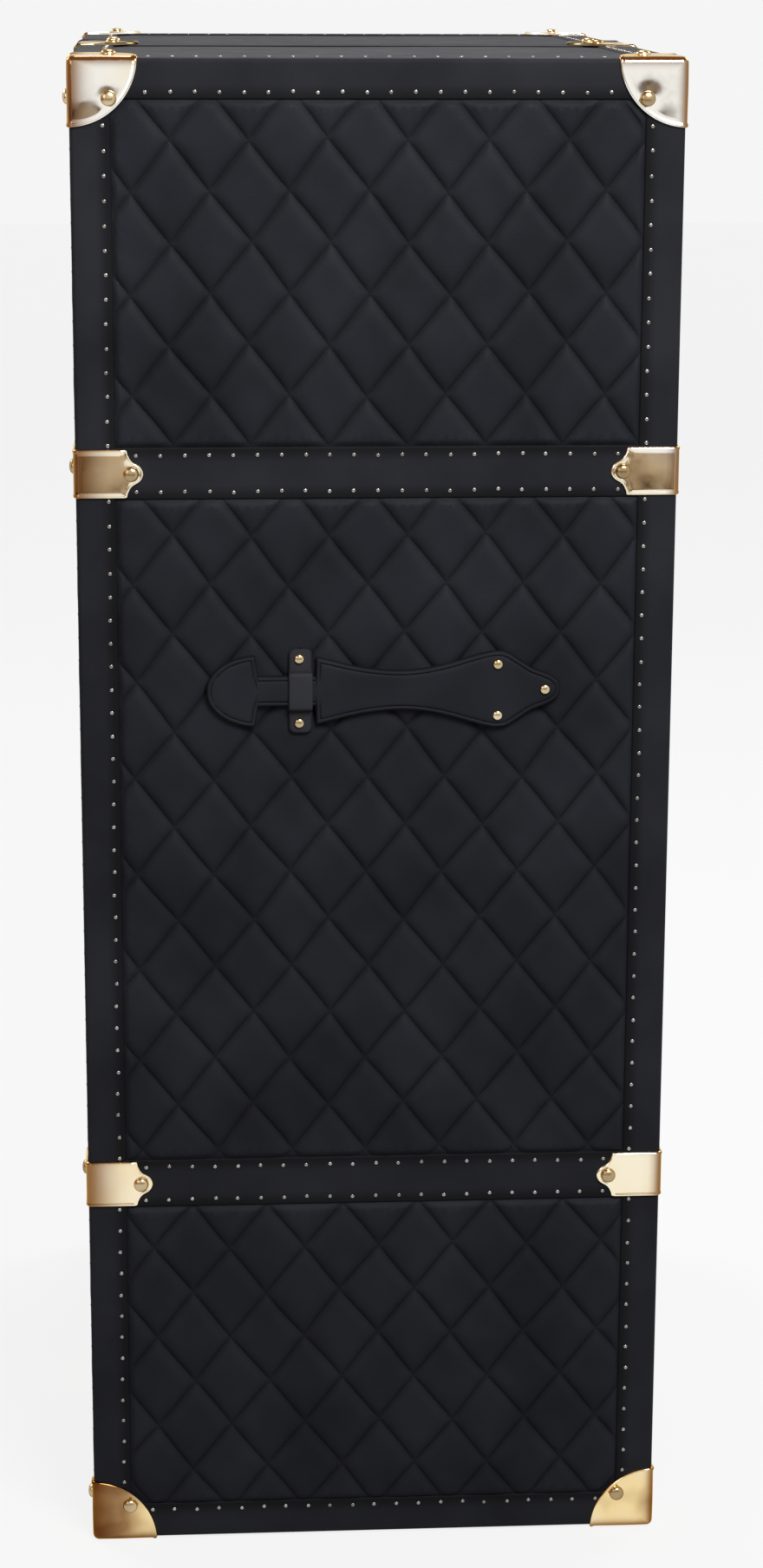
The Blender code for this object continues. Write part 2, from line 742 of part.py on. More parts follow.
def build_handle(side, sign):
    """The strap handle on the narrow side of one half, its bends on their own axes."""
    half = (sign, 1, 1)
    high = sign * (STRAP_LOW + STRAP)
    low = sign * STRAP_LOW
    anchor, knee, slider = STRAP_BENDS
    add_node(f"{side}_keeper", flipped(keeper(), half), FINISH["leather"])
    piece = strap_piece(strap_body_between(anchor, STRAP_BODY[-1][0]))
    add_node(f"{side}_strap_anchor", flipped(piece, half), FINISH["leather"])
    piece = strap_piece(strap_body_between(knee, anchor))
    add_node(f"{side}_strap_near", flipped(piece, half), FINISH["leather"], (high, anchor, HANDLE_HEIGHT))
    piece = strap_piece(strap_body_between(slider, knee))
    add_node(f"{side}_strap_far", flipped(piece, half), FINISH["leather"], (low, knee, HANDLE_HEIGHT))
    piece = flipped(strap_end(), half)
    add_node(f"{side}_strap_end", piece, FINISH["leather"], (high, slider, HANDLE_HEIGHT))


def build_hardware():
    """The back hinge and the front latches."""
    axis = (0.0, HINGE_AXIS, 0.0)
    for side, sign in HALVES.items():
        add_node(f"{side}_hinge_leaf", flipped(hinge_leaf(side), (sign, 1, 1)), FINISH["brass"], axis)
    pin = rod(
        (0.0, HINGE_AXIS, Z_LOW + HINGE_END + RUN_GAP),
        (0.0, HINGE_AXIS, Z_TOP - HINGE_END - RUN_GAP),
        HINGE_PIN,
        12,
    )
    add_node("hinge_pin", pin, FINISH["brass"], axis)
    for level, height in LATCH_HEIGHTS.items():
        add_node(f"{level}_latch_plate", latch_plate(height), FINISH["brass"])
        add_node(f"{level}_hasp", hasp(height), FINISH["brass"], (LATCH_AXIS, -LATCH_Y, height))
        add_node(f"{level}_staple", staple(height), FINISH["brass"])


def build_inside():
    """The drawers, bays and rails inside."""
    bays = right_bays()
    add_node("right_fitment", fitment(bays), FINISH["wood"])
    add_node("left_fitment", flipped(fitment(left_bays()), (-1, 1, 1)), FINISH["wood"])
    for level, bay in (("lower", bays[0]), ("upper", bays[1])):
        add_node(f"{level}_drawer", drawer(bay), FINISH["wood"])
        add_node(f"{level}_knob", knob(bay), FINISH["brass"])
    add_node("bottle_guard", bottle_guard(), FINISH["brass"])


def main():
    """Build the whole trunk, closed."""
    for side, sign in HALVES.items():
        build_half(side, sign)
        build_handle(side, sign)
    build_hardware()
    build_inside()


clear_scene()
PARTS = new_collection("bar_trunk")
FINISH = {
    "board": new_material("lined_board", (0.030, 0.030, 0.034), 0.0, 0.6),
    "leather": new_material("black_leather", (0.012, 0.013, 0.017), 0.0, 0.45),
    "quilt": new_material("quilted_leather", (0.016, 0.017, 0.022), 0.0, 0.45),
    "brass": new_material("polished_brass", (0.83, 0.62, 0.30), 1.0, 0.18),
    "wood": new_material("dark_walnut", (0.10, 0.055, 0.03), 0.0, 0.45),
}
main()
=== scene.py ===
"""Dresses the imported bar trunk: quilted leather, strips, nails, brass, strap handles and the inside."""

from __future__ import annotations

import json
import logging
import math
from collections.abc import Iterable, Sequence
from dataclasses import dataclass, field
from enum import Enum

import bmesh
import bpy
import numpy as np
from mathutils import Matrix, Vector


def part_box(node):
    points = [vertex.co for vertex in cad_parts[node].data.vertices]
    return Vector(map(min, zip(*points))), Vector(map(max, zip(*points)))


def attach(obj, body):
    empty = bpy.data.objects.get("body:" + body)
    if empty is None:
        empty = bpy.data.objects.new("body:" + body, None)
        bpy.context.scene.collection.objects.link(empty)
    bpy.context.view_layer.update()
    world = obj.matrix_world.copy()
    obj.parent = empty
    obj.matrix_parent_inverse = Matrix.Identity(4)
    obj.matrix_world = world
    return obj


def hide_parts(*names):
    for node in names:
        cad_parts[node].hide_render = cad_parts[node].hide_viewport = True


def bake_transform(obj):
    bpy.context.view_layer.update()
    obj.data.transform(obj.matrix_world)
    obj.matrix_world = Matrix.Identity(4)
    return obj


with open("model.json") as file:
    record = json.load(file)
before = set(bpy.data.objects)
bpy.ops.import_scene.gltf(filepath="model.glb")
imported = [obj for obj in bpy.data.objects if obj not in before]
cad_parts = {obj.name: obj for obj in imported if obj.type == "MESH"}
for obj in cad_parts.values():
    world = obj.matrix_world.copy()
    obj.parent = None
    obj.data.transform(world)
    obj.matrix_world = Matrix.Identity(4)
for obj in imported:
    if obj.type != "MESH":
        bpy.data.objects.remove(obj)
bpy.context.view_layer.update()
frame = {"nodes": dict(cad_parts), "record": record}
LOG = logging.getLogger("trunk")
CHANCE = np.random.default_rng(11)
TINY = 1e-9
WHITE = (1.0, 1.0, 1.0, 1.0)
Array = np.ndarray
Arrays = tuple[Array, Array]
Numbers = tuple[float, ...]
Pair = tuple[float, float]
Pairs = tuple[Pair, ...]
Triple = tuple[float, float, float]
Rgb = Triple
Piece = bpy.types.Object
Finish = bpy.types.Material
Socket = bpy.types.NodeSocket
Links = dict[str | int, Socket]
Values = dict[str | int, float | Sequence[float]]
Form = tuple[Array, Sequence[Sequence[int]]]
Bar = tuple[Sequence[float], Sequence[float], float]


class Named(Enum):
    """A choice whose name is a word in the names of pieces."""

    @property
    def label(self) -> str:
        """The choice as that word."""
        return self.name.lower()


class Half(Named):
    """The two half cases; the value is the sign of their x."""

    RIGHT = 1
    LEFT = -1

    @property
    def body(self) -> str:
        """CAD body that it is."""
        return f"{self.label}_half"

    @property
    def middle(self) -> Array:
        """A point inside the half, which its outside faces look away from."""
        return np.array((self.value * CASE.half_width / 2, 0.0, CASE.middle))


class Way(Named):
    """The two broad faces; the value is the sign of their y."""

    FRONT = -1
    BACK = 1


class End(Named):
    """The two ends of the case; the value is the sign of z outward."""

    TOP = 1
    BOTTOM = -1


class Level(Named):
    """The two of a pair, one over the other; the value counts from below."""

    LOWER = 0
    UPPER = 1


class Face(Named):
    """The outside faces of a half."""

    SIDE = 0
    FRONT = 1
    BACK = 2
    TOP = 3
    BOTTOM = 4


class Edge(Named):
    """The edges of a half that a strip is bent over: upright, along the side, or across the width."""

    UPRIGHT = 0
    SIDE = 1
    CROSS = 2


class Slot(Enum):
    """Material slots of the record."""

    BOARD = "lined_board"
    QUILT = "quilted_leather"
    LEATHER = "black_leather"
    BRASS = "polished_brass"
    WALNUT = "dark_walnut"


class Dome(Enum):
    """Sections of nail and rivet heads: height and radius of each ring, as shares."""

    LOW = ((0.0, 1.0), (0.35, 0.98), (0.60, 0.91), (0.78, 0.78), (0.90, 0.60), (0.97, 0.36), (1.0, 0.04))
    HIGH = ((0.0, 1.0), (0.25, 0.985), (0.48, 0.93), (0.68, 0.82), (0.84, 0.64), (0.95, 0.38), (1.0, 0.04))


@dataclass(frozen=True)
class Case:
    """Outside sizes of the trunk, in metres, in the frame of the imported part."""

    half_width: float = 0.360
    half_depth: float = 0.250
    low: float = 0.0015
    middle: float = 0.65
    top: float = 1.2955
    rim: float = 0.0003
    edge: float = 0.004
    border: float = 0.033
    band: float = 0.0435
    bands: Pair = (0.3375, 0.9595)
    cap: float = 0.057
    nail_line: float = 0.027
    nail_pitch: float = 0.0199
    plate_gap: float = 0.0003

    @property
    def zones(self) -> tuple[Pair, Pair, Pair]:
        """The quilted windows of a face, from below.

        Returns:
            Lowest and highest height of each.
        """
        low, high = self.bands
        half = self.band / 2
        return (
            (self.low + self.border, low - half),
            (low + half, high - half),
            (high + half, self.top - self.border),
        )

    def height_of(self, end: End) -> float:
        """Height of the top or the bottom."""
        return self.top if end is End.TOP else self.low


CASE = Case()


def joined(*axes: Array) -> Array:
    """Coordinates side by side in the last axis of one array."""
    return np.stack(axes, axis=-1)


@dataclass(frozen=True)
class Plane:
    """One outside face of a half, with u across it, v up (along y on top and bottom) and w outward."""

    half: Half
    face: Face

    def place(self, u: Array, v: Array, w: Array) -> Array:
        """Turns face coordinates into points of the frame.

        Args:
            u: Along y on the side, or the distance from the seam.
            v: Height, or y on the top and bottom.
            w: Height over the leather strips.

        Returns:
            Points with x, y and z in the last axis.
        """
        sign = self.half.value
        u, v, w = np.broadcast_arrays(u, v, w)
        points = {
            Face.SIDE: (sign * (CASE.half_width + w), u, v),
            Face.FRONT: (sign * u, -(CASE.half_depth + w), v),
            Face.BACK: (sign * u, CASE.half_depth + w, v),
            Face.TOP: (sign * u, v, CASE.top + w),
            Face.BOTTOM: (sign * u, v, CASE.low - w),
        }
        return joined(*points[self.face])

    @property
    def normal(self) -> Array:
        """Outward direction."""
        return self.place(0.0, 0.0, 1.0) - self.place(0.0, 0.0, 0.0)

    @property
    def span(self) -> Pair:
        """Where the face starts and ends along u."""
        on_side = self.face is Face.SIDE
        return (-CASE.half_depth, CASE.half_depth) if on_side else (CASE.rim, CASE.half_width)


def shown(name: str, mesh: bpy.types.Mesh, sharp: float | None = None) -> Piece:
    """Puts a mesh into the scene, shaded smooth.

    Args:
        name: Name of the piece.
        mesh: Its mesh, in the frame.
        sharp: Angle in radians over which edges stay sharp; None smooths them all.

    Returns:
        The new object.
    """
    mesh.shade_smooth()
    if sharp is not None:
        mesh.set_sharp_from_angle(angle=sharp)
    piece = bpy.data.objects.new(name, mesh)
    bpy.context.scene.collection.objects.link(piece)
    return piece


def mesh_piece(
    name: str,
    points: Array,
    faces: Sequence[Sequence[int]] | Array,
    inside: Array,
    weld: bool = False,
    sharp: float | None = None,
    seam: Array | None = None,
) -> Piece:
    """Makes a mesh object whose faces look outward.

    Args:
        name: Name of the piece.
        points: Its vertices, in the frame.
        faces: Vertex numbers of each face.
        inside: A point behind the faces.
        weld: Whether vertices in one place are joined.
        sharp: Angle in radians over which edges stay sharp; None smooths them all.
        seam: Share of painted shade at each vertex, in seams, grooves and along edges, from 0 to 1.

    Returns:
        The new object, in the scene.
    """
    mesh = bpy.data.meshes.new(name)
    mesh.from_pydata(np.asarray(points).reshape(-1, 3), [], faces)
    if weld:
        work = bmesh.new()
        work.from_mesh(mesh)
        bmesh.ops.remove_doubles(work, verts=work.verts, dist=1e-6)
        bmesh.ops.recalc_face_normals(work, faces=work.faces)
        work.to_mesh(mesh)
        work.free()
    mesh.update()
    count = len(mesh.polygons)
    normals, centres, areas = np.zeros(count * 3), np.zeros(count * 3), np.zeros(count)
    mesh.polygons.foreach_get("normal", normals)
    mesh.polygons.foreach_get("center", centres)
    mesh.polygons.foreach_get("area", areas)
    away = ((centres.reshape(-1, 3) - inside) * normals.reshape(-1, 3)).sum(axis=1)
    if (away * areas).sum() < 0:
        mesh.flip_normals()
    piece = shown(name, mesh, sharp)
    if seam is not None:
        darken(piece, seam)
    return piece


def darken(piece: Piece, share: Array) -> None:
    """Marks where painted shade darkens the finish of a piece, and on brass where painted dark reflection does.

    Args:
        piece: The piece.
        share: How dark each vertex is, from 0 to 1.
    """
    mark = piece.data.attributes.new("seam", "FLOAT", "POINT")
    mark.data.foreach_set("value", np.asarray(share, np.float32).ravel())


def bell(distance: Array, width: float | Array, power: float = 2.0) -> Array:
    """A share that falls from 1 towards 0 with distance, to 0.37 at the width."""
    return np.exp(-((distance / width) ** power))


def tarnish(piece: Piece, reach: Triple) -> None:
    """Paints dark reflection and shade on brass along the edges of the case, as a darker mark.

    Args:
        piece: A cap or clamp.
        reach: How far the painted dark reaches in from the side, from the front or back, and from the top or bottom.
    """
    places = np.zeros(len(piece.data.vertices) * 3)
    piece.data.vertices.foreach_get("co", places)
    x, y, z = np.abs(places.reshape(-1, 3)).T
    ends = np.minimum(CASE.top - z, z - CASE.low)
    inward = joined(CASE.half_width - x, CASE.half_depth - y, ends)
    share = bell(np.maximum(inward, 0.0), np.array(reach))
    # painted dark reflection: darkest where a point is near two faces of the case, on the rounded edges
    darken(piece, np.sort(share, axis=1)[:, 1])


def sheet_faces(rows: int, columns: int) -> Array:
    """Quads of a grid of points stored row by row.

    Args:
        rows: Number of rows.
        columns: Number of points in a row.

    Returns:
        Vertex numbers, four to a row.
    """
    index = np.arange(rows * columns).reshape(rows, columns)
    corners = (index[:-1, :-1], index[:-1, 1:], index[1:, 1:], index[1:, :-1])
    return joined(*corners).reshape(-1, 4)


def gathered(forms: Iterable[Form]) -> tuple[Array, list[list[int]]]:
    """Joins forms into one.

    Args:
        forms: Points and faces of each form.

    Returns:
        All points, and faces that count through them.
    """
    points: list[Array] = []
    faces: list[list[int]] = []
    count = 0
    for some, sides in forms:
        points.append(some.reshape(-1, 3))
        faces += [[i + count for i in side] for side in sides]
        count += len(points[-1])
    return np.concatenate(points), faces


def ease(value: Array) -> Array:
    """Smooth step from 0 to 1 over the same range."""
    share = np.clip(value, 0.0, 1.0)
    return share * share * (3.0 - 2.0 * share)


def turned(profile: Sequence[Pair], sides: int) -> tuple[Array, list[list[int]]]:
    """A closed turned form about the z axis.

    Args:
        profile: Height and radius of each ring, from low to high.
        sides: Number of points on a ring.

    Returns:
        Points and faces.
    """
    turn = np.linspace(0.0, 2.0 * math.pi, sides, endpoint=False)
    rings = [joined(r * np.cos(turn), r * np.sin(turn), np.full(sides, z)) for z, r in profile]
    faces: list[list[int]] = []
    last = (len(profile) - 1) * sides
    for base in range(0, last, sides):
        for i in range(sides):
            j = (i + 1) % sides
            faces.append([base + i, base + j, base + sides + j, base + sides + i])
    faces.append(list(range(sides))[::-1])
    faces.append(list(range(last, last + sides)))
    return np.concatenate(rings), faces


def axes_of(normal: Array) -> Array:
    """A turn whose third column is the normal.

    Args:
        normal: Direction that local z goes to.

    Returns:
        A 3 x 3 rotation.
    """
    third = np.asarray(normal, float) / np.linalg.norm(normal)
    helper = np.array((0.0, 0.0, 1.0)) if abs(third[2]) < 0.9 else np.array((1.0, 0.0, 0.0))
    first = np.cross(helper, third)
    first /= np.linalg.norm(first)
    return np.stack((first, np.cross(third, first), third), axis=1)


def rods(name: str, spans: Sequence[Bar]) -> Piece:
    """Round bars with eased ends in one piece.

    Args:
        name: Name of the piece.
        spans: Start, end and radius of each bar.

    Returns:
        The new object.
    """
    forms: list[Form] = []
    for start, end, radius in spans:
        low = np.asarray(start, float)
        way = np.asarray(end, float) - low
        length = float(np.linalg.norm(way))
        soft = min(0.25 * radius, 0.2 * length)
        profile = [(0.0, radius - soft), (soft, radius), (length - soft, radius), (length, radius - soft)]
        form, faces = turned(profile, sides=28)
        forms.append((low + form @ axes_of(way).T, faces))
    return mesh_piece(name, *gathered(forms), forms[0][0].mean(axis=0), sharp=0.9)


def eased_block(name: str, low: Sequence[float], high: Sequence[float], soft: float) -> Piece:
    """A board or plate with rounded edges.

    Args:
        name: Name of the piece.
        low: One corner.
        high: The corner across from it.
        soft: Radius of its edges.

    Returns:
        The new object.
    """
    work = bmesh.new()
    bmesh.ops.create_cube(work, size=1.0)
    start = Vector(map(min, low, high))
    size = Vector(map(max, low, high)) - start
    place = Matrix.Translation(start + size / 2) @ Matrix.Diagonal((*size, 1.0))
    bmesh.ops.transform(work, matrix=place, verts=work.verts)
    bmesh.ops.bevel(work, geom=list(work.edges), offset=soft, segments=3, profile=0.6, affect="EDGES")
    mesh = bpy.data.meshes.new(name)
    work.to_mesh(mesh)
    work.free()
    return shown(name, mesh, sharp=0.6)


def outlined_grid(stations: Sequence[Pair], insets: Sequence[float]) -> tuple[Array, Array, Array]:
    """Rows of points that follow the outline of a flat piece.

    Args:
        stations: Place along the piece and half its height there.
        insets: Distances in from the outline at which rows run.

    Returns:
        Place along, place across and distance from the outline, station by row.
    """
    along, half = np.array(stations).T
    inner = np.maximum(half[:, None] - np.asarray(insets)[None, :], 0.0)
    across = np.concatenate((-inner, inner[:, ::-1]), axis=1)
    places = np.repeat(along[:, None], across.shape[1], axis=1)
    ring = np.concatenate((joined(along, half), joined(along, -half)[::-1]))
    step = np.roll(ring, -1, axis=0) - ring
    spots = joined(places, across).reshape(-1, 1, 2)
    share = ((spots - ring) * step).sum(axis=-1) / np.maximum((step * step).sum(axis=-1), 1e-12)
    nearest = ring + np.clip(share, 0.0, 1.0)[..., None] * step
    distance = np.sqrt(((spots - nearest) ** 2).sum(axis=-1)).min(axis=1)
    return places, across, distance.reshape(across.shape)


class Nodes:
    """A node tree being put together."""

    def __init__(self, tree: bpy.types.NodeTree) -> None:
        """Takes the tree of a material or of the world."""
        self.tree = tree

    def wire(self, node: bpy.types.Node, links: Links, values: Values | None = None) -> bpy.types.Node:
        """Fills inputs of a node.

        Args:
            node: The node.
            links: Source of each linked input.
            values: Number or colour of each plain input.

        Returns:
            The node.
        """
        for key, value in (values or {}).items():
            node.inputs[key].default_value = value
        for key, source in links.items():
            self.tree.links.new(source, node.inputs[key])
        return node

    def node(self, kind: str, links: Links | None = None, values: Values | None = None) -> bpy.types.Node:
        """Adds a node.

        Args:
            kind: Its type, without the words that all types share.
            links: Source of each linked input.
            values: Number or colour of each plain input.

        Returns:
            The node.
        """
        return self.wire(self.tree.nodes.new(f"ShaderNode{kind}"), links or {}, values)

    def both(self, operation: str, first: Socket, second: Socket) -> Socket:
        """Works out one value from two.

        Args:
            operation: How, such as their sum.
            first: One value.
            second: The other.

        Returns:
            The result.
        """
        node = self.node("Math", {0: first, 1: second})
        node.operation = operation
        return node.outputs["Value"]

    def seen_more(self, as_light: float, as_seen: float) -> Socket:
        """A strength that is higher where the camera, a shiny surface or glass sees it than as a light.

        Args:
            as_light: Strength as a light.
            as_seen: Strength where it is seen.

        Returns:
            The strength.
        """
        path = self.node("LightPath")
        seen = path.outputs["Is Camera Ray"]
        for word in ("Is Glossy Ray", "Is Transmission Ray"):
            seen = self.both("MAXIMUM", seen, path.outputs[word])
        return self.node("MapRange", {"Value": seen}, {"To Min": as_light, "To Max": as_seen}).outputs["Result"]


class Shader(Nodes):
    """A node material being put together on the coordinates of its piece."""

    def __init__(self, name: str) -> None:
        """Starts a material.

        Args:
            name: Its name.
        """
        self.material = bpy.data.materials.new(name)
        self.material.use_nodes = True
        super().__init__(self.material.node_tree)
        self.surface = self.tree.nodes["Principled BSDF"]
        self.place = self.node("TexCoord").outputs["Object"]

    def constant(self, values: Values) -> None:
        """Sets plain numbers and colours on inputs of the surface."""
        self.wire(self.surface, {}, values)

    def feed(self, name: str, source: Socket) -> None:
        """Links an output to an input of the surface."""
        self.wire(self.surface, {name: source})

    def stretched(self, scale: Triple) -> Socket:
        """The coordinates, scaled by axis."""
        return self.node("Mapping", {"Vector": self.place}, {"Scale": scale}).outputs["Vector"]

    def noise(self, scale: float, detail: float = 3.0, place: Socket | None = None) -> Socket:
        """Cloudy variation.

        Args:
            scale: Patches per metre.
            detail: Number of finer layers.
            place: Coordinates, if they aren't the plain ones.

        Returns:
            A value about 0.5.
        """
        values = {"Scale": scale, "Detail": detail}
        return self.node("TexNoise", {"Vector": place or self.place}, values).outputs["Fac"]

    def cells(self, scale: float) -> Socket:
        """Pebbles like the grain of leather.

        Args:
            scale: Pebbles per metre.

        Returns:
            Distance from the middle of a pebble.
        """
        node = self.node("TexVoronoi")
        node.feature = "SMOOTH_F1"
        self.wire(node, {"Vector": self.place}, {"Scale": scale, "Smoothness": 0.6})
        return node.outputs["Distance"]

    def ramp(self, value: Socket, stops: Sequence[tuple[float, Rgb]]) -> Socket:
        """Colours along a value.

        Args:
            value: What the colour follows.
            stops: Place and colour of each stop.

        Returns:
            The colour.
        """
        node = self.node("ValToRGB", {"Fac": value})
        marks = node.color_ramp.elements
        while len(marks) < len(stops):
            marks.new(0.5)
        for mark, (place, colour) in zip(marks, stops):
            mark.position = place
            mark.color = (*colour, 1.0)
        return node.outputs["Color"]

    def along(self, way: Triple) -> Socket:
        """A value that grows along a direction.

        Args:
            way: The direction; its length is the growth per metre.

        Returns:
            The value, 0 at the origin of the frame.
        """
        node = self.node("VectorMath", {0: self.place}, {1: way})
        node.operation = "DOT_PRODUCT"
        return node.outputs["Value"]

    def in_seams(self, colour: Socket, dark: Rgb) -> Socket:
        """Darkens a colour by the seam mark: painted shade in seams, grooves and along strip and strap edges, where
        dyed cut edges are also darker, and painted dark reflection along brass edges.

        Args:
            colour: The colour elsewhere.
            dark: What it is multiplied by where the mark is full.

        Returns:
            The darkened colour.
        """
        mark = self.node("Attribute")
        mark.attribute_name = "seam"
        mix = self.node("Mix")
        mix.data_type = "RGBA"
        mix.blend_type = "MULTIPLY"
        self.wire(mix, {0: mark.outputs["Fac"], 6: colour}, {7: (*dark, 1.0)})
        return mix.outputs[2]

    def span(self, value: Socket, low: float, high: float) -> Socket:
        """Stretches the middle of a cloudy value over a range.

        Args:
            value: The value.
            low: Result at 0.3.
            high: Result at 0.7.

        Returns:
            The stretched value.
        """
        values = {"From Min": 0.3, "From Max": 0.7, "To Min": low, "To Max": high}
        return self.node("MapRange", {"Value": value}, values).outputs["Result"]

    def bump(self, height: Socket, strength: float, depth: float, over: Socket | None = None) -> Socket:
        """Relief too fine for the mesh.

        Args:
            height: Value that is high or low.
            strength: Share of the relief that shows.
            depth: Depth of the relief in metres.
            over: Relief that this one lies on.

        Returns:
            A normal.
        """
        links = {"Height": height} if over is None else {"Height": height, "Normal": over}
        return self.node("Bump", links, {"Strength": strength, "Distance": depth}).outputs["Normal"]


@dataclass(frozen=True)
class Leather:
    """Dyed leather with a pebbled grain and a low sheen, with painted shade darkening its seams, grooves and edges."""

    name: str
    deep: Rgb = (0.0111, 0.0116, 0.0151)
    pale: Rgb = (0.0179, 0.0187, 0.0237)
    smooth: float = 0.56
    dull: float = 0.64
    grain: float = 620.0
    relief: float = 0.00012
    shine: float = 0.06
    # painted shade: what the colour is multiplied by in seams, grooves and along edges
    in_seam: Rgb = (0.42, 0.42, 0.44)
    clouds: float = 11.0
    wear: Pair = (46.0, 5.0)
    wrinkles: Pair = (190.0, 6.0)
    wrinkle_depth: float = 0.0002

    def material(self) -> Finish:
        """Builds the finish.

        Returns:
            The material.
        """
        shader = Shader(self.name)
        shader.constant({"Specular IOR Level": self.shine})
        dyed = shader.ramp(shader.noise(self.clouds), [(0.35, self.deep), (0.68, self.pale)])
        # painted shade in seams, grooves and along edges, by the seam mark
        shader.feed("Base Color", shader.in_seams(dyed, self.in_seam))
        shader.feed("Roughness", shader.span(shader.noise(*self.wear), self.smooth, self.dull))
        pebbles = shader.bump(shader.cells(self.grain), 0.55, self.relief)
        shader.feed("Normal", shader.bump(shader.noise(*self.wrinkles), 0.30, self.wrinkle_depth, pebbles))
        return shader.material


@dataclass(frozen=True)
class Brass:
    """Polished brass with fine scratches and slightly duller patches, with painted light where set: paler along one
    direction up to a near-white painted highlight, and painted dark reflection along the case edges.
    """

    name: str
    deep: Rgb = (0.40, 0.23, 0.10)
    gold: Rgb = (0.93, 0.72, 0.37)
    pale: Rgb = (0.97, 0.88, 0.68)
    # painted highlight: near-white tone at the top of the ramp, reached where the painted light runs highest
    bright: Rgb | None = None
    # painted dark reflection: what the colour is multiplied by along the case edges
    stain: Rgb = (0.30, 0.17, 0.09)
    smooth: float = 0.06
    dull: float = 0.15
    tones: Triple = (0.10, 0.25, 0.34)
    last_tone: float = 0.88
    # painted light: the tones grow paler along this direction, per metre
    fresher: Triple = (0.0, 0.0, 0.0)
    clouds: Pair = (14.0, 3.0)
    wear: Pair = (120.0, 5.0)
    hairs: Pair = (60.0, 5.0)
    brushed: Triple = (30.0, 6.0, 2.0)
    waves: Pair = (17.0, 1.0)
    wave_depth: float = 0.0040

    def material(self) -> Finish:
        """Builds the finish.

        Returns:
            The material.
        """
        shader = Shader(self.name)
        shader.constant({"Metallic": 1.0, "Specular Tint": (*self.gold, 1.0)})
        stops = list(zip((*self.tones, self.last_tone), (self.deep, self.gold, self.pale, self.pale)))
        stops.append((1.0, self.bright or self.pale))
        patches = shader.span(shader.noise(*self.clouds), 0.10, 0.40)
        # painted light: random patches plus a paler gradient along the painted light direction
        tone_and_painted_light = shader.both("ADD", patches, shader.along(self.fresher))
        # painted dark reflection along the case edges, by the seam mark
        shader.feed("Base Color", shader.in_seams(shader.ramp(tone_and_painted_light, stops), self.stain))
        shader.feed("Roughness", shader.span(shader.noise(*self.wear), self.smooth, self.dull))
        scratches = shader.noise(*self.hairs, shader.stretched(self.brushed))
        waves = shader.bump(shader.noise(*self.waves), 0.5, self.wave_depth)
        shader.feed("Normal", shader.bump(scratches, 0.06, 0.0001, waves))
        return shader.material


@dataclass(frozen=True)
class Walnut:
    """Oiled dark walnut with grain along y."""

    name: str
    deep: Rgb = (0.030, 0.014, 0.007)
    pale: Rgb = (0.105, 0.052, 0.025)
    figure: Pair = (5.0, 6.0)
    figure_stretch: Triple = (9.0, 0.8, 9.0)
    fibres: Pair = (60.0, 4.0)
    fibre_stretch: Triple = (6.0, 0.12, 6.0)

    def material(self) -> Finish:
        """Builds the finish.

        Returns:
            The material.
        """
        shader = Shader(self.name)
        figure = shader.noise(*self.figure, shader.stretched(self.figure_stretch))
        fibres = shader.noise(*self.fibres, shader.stretched(self.fibre_stretch))
        middle = tuple((a + b) / 2 for a, b in zip(self.deep, self.pale))
        shader.feed("Base Color", shader.ramp(figure, [(0.32, self.deep), (0.5, middle), (0.66, self.pale)]))
        shader.feed("Roughness", shader.span(fibres, 0.30, 0.46))
        shader.feed("Normal", shader.bump(fibres, 0.25, 0.0003))
        return shader.material


@dataclass(frozen=True)
class Suede:
    """Soft brushed lining."""

    name: str
    deep: Rgb = (0.130, 0.062, 0.034)
    pale: Rgb = (0.190, 0.096, 0.056)
    clouds: Pair = (16.0, 5.0)
    nap: Pair = (1500.0, 2.0)

    def material(self) -> Finish:
        """Builds the finish.

        Returns:
            The material.
        """
        shader = Shader(self.name)
        shader.constant({"Sheen Weight": 0.35, "Sheen Roughness": 0.4, "Specular IOR Level": 0.1})
        shader.feed("Base Color", shader.ramp(shader.noise(*self.clouds), [(0.33, self.deep), (0.68, self.pale)]))
        shader.feed("Roughness", shader.span(shader.noise(70.0), 0.85, 0.98))
        shader.feed("Normal", shader.bump(shader.noise(*self.nap), 0.4, 0.0003))
        return shader.material


@dataclass(frozen=True)
class Thread:
    """Waxed sewing thread."""

    name: str
    deep: Rgb = (0.007, 0.007, 0.009)
    pale: Rgb = (0.013, 0.013, 0.016)

    def material(self) -> Finish:
        """Builds the finish.

        Returns:
            The material.
        """
        shader = Shader(self.name)
        shader.constant({"Specular IOR Level": 0.05})
        shader.feed("Base Color", shader.ramp(shader.noise(300.0), [(0.3, self.deep), (0.7, self.pale)]))
        shader.feed("Roughness", shader.span(shader.noise(500.0), 0.60, 0.80))
        return shader.material


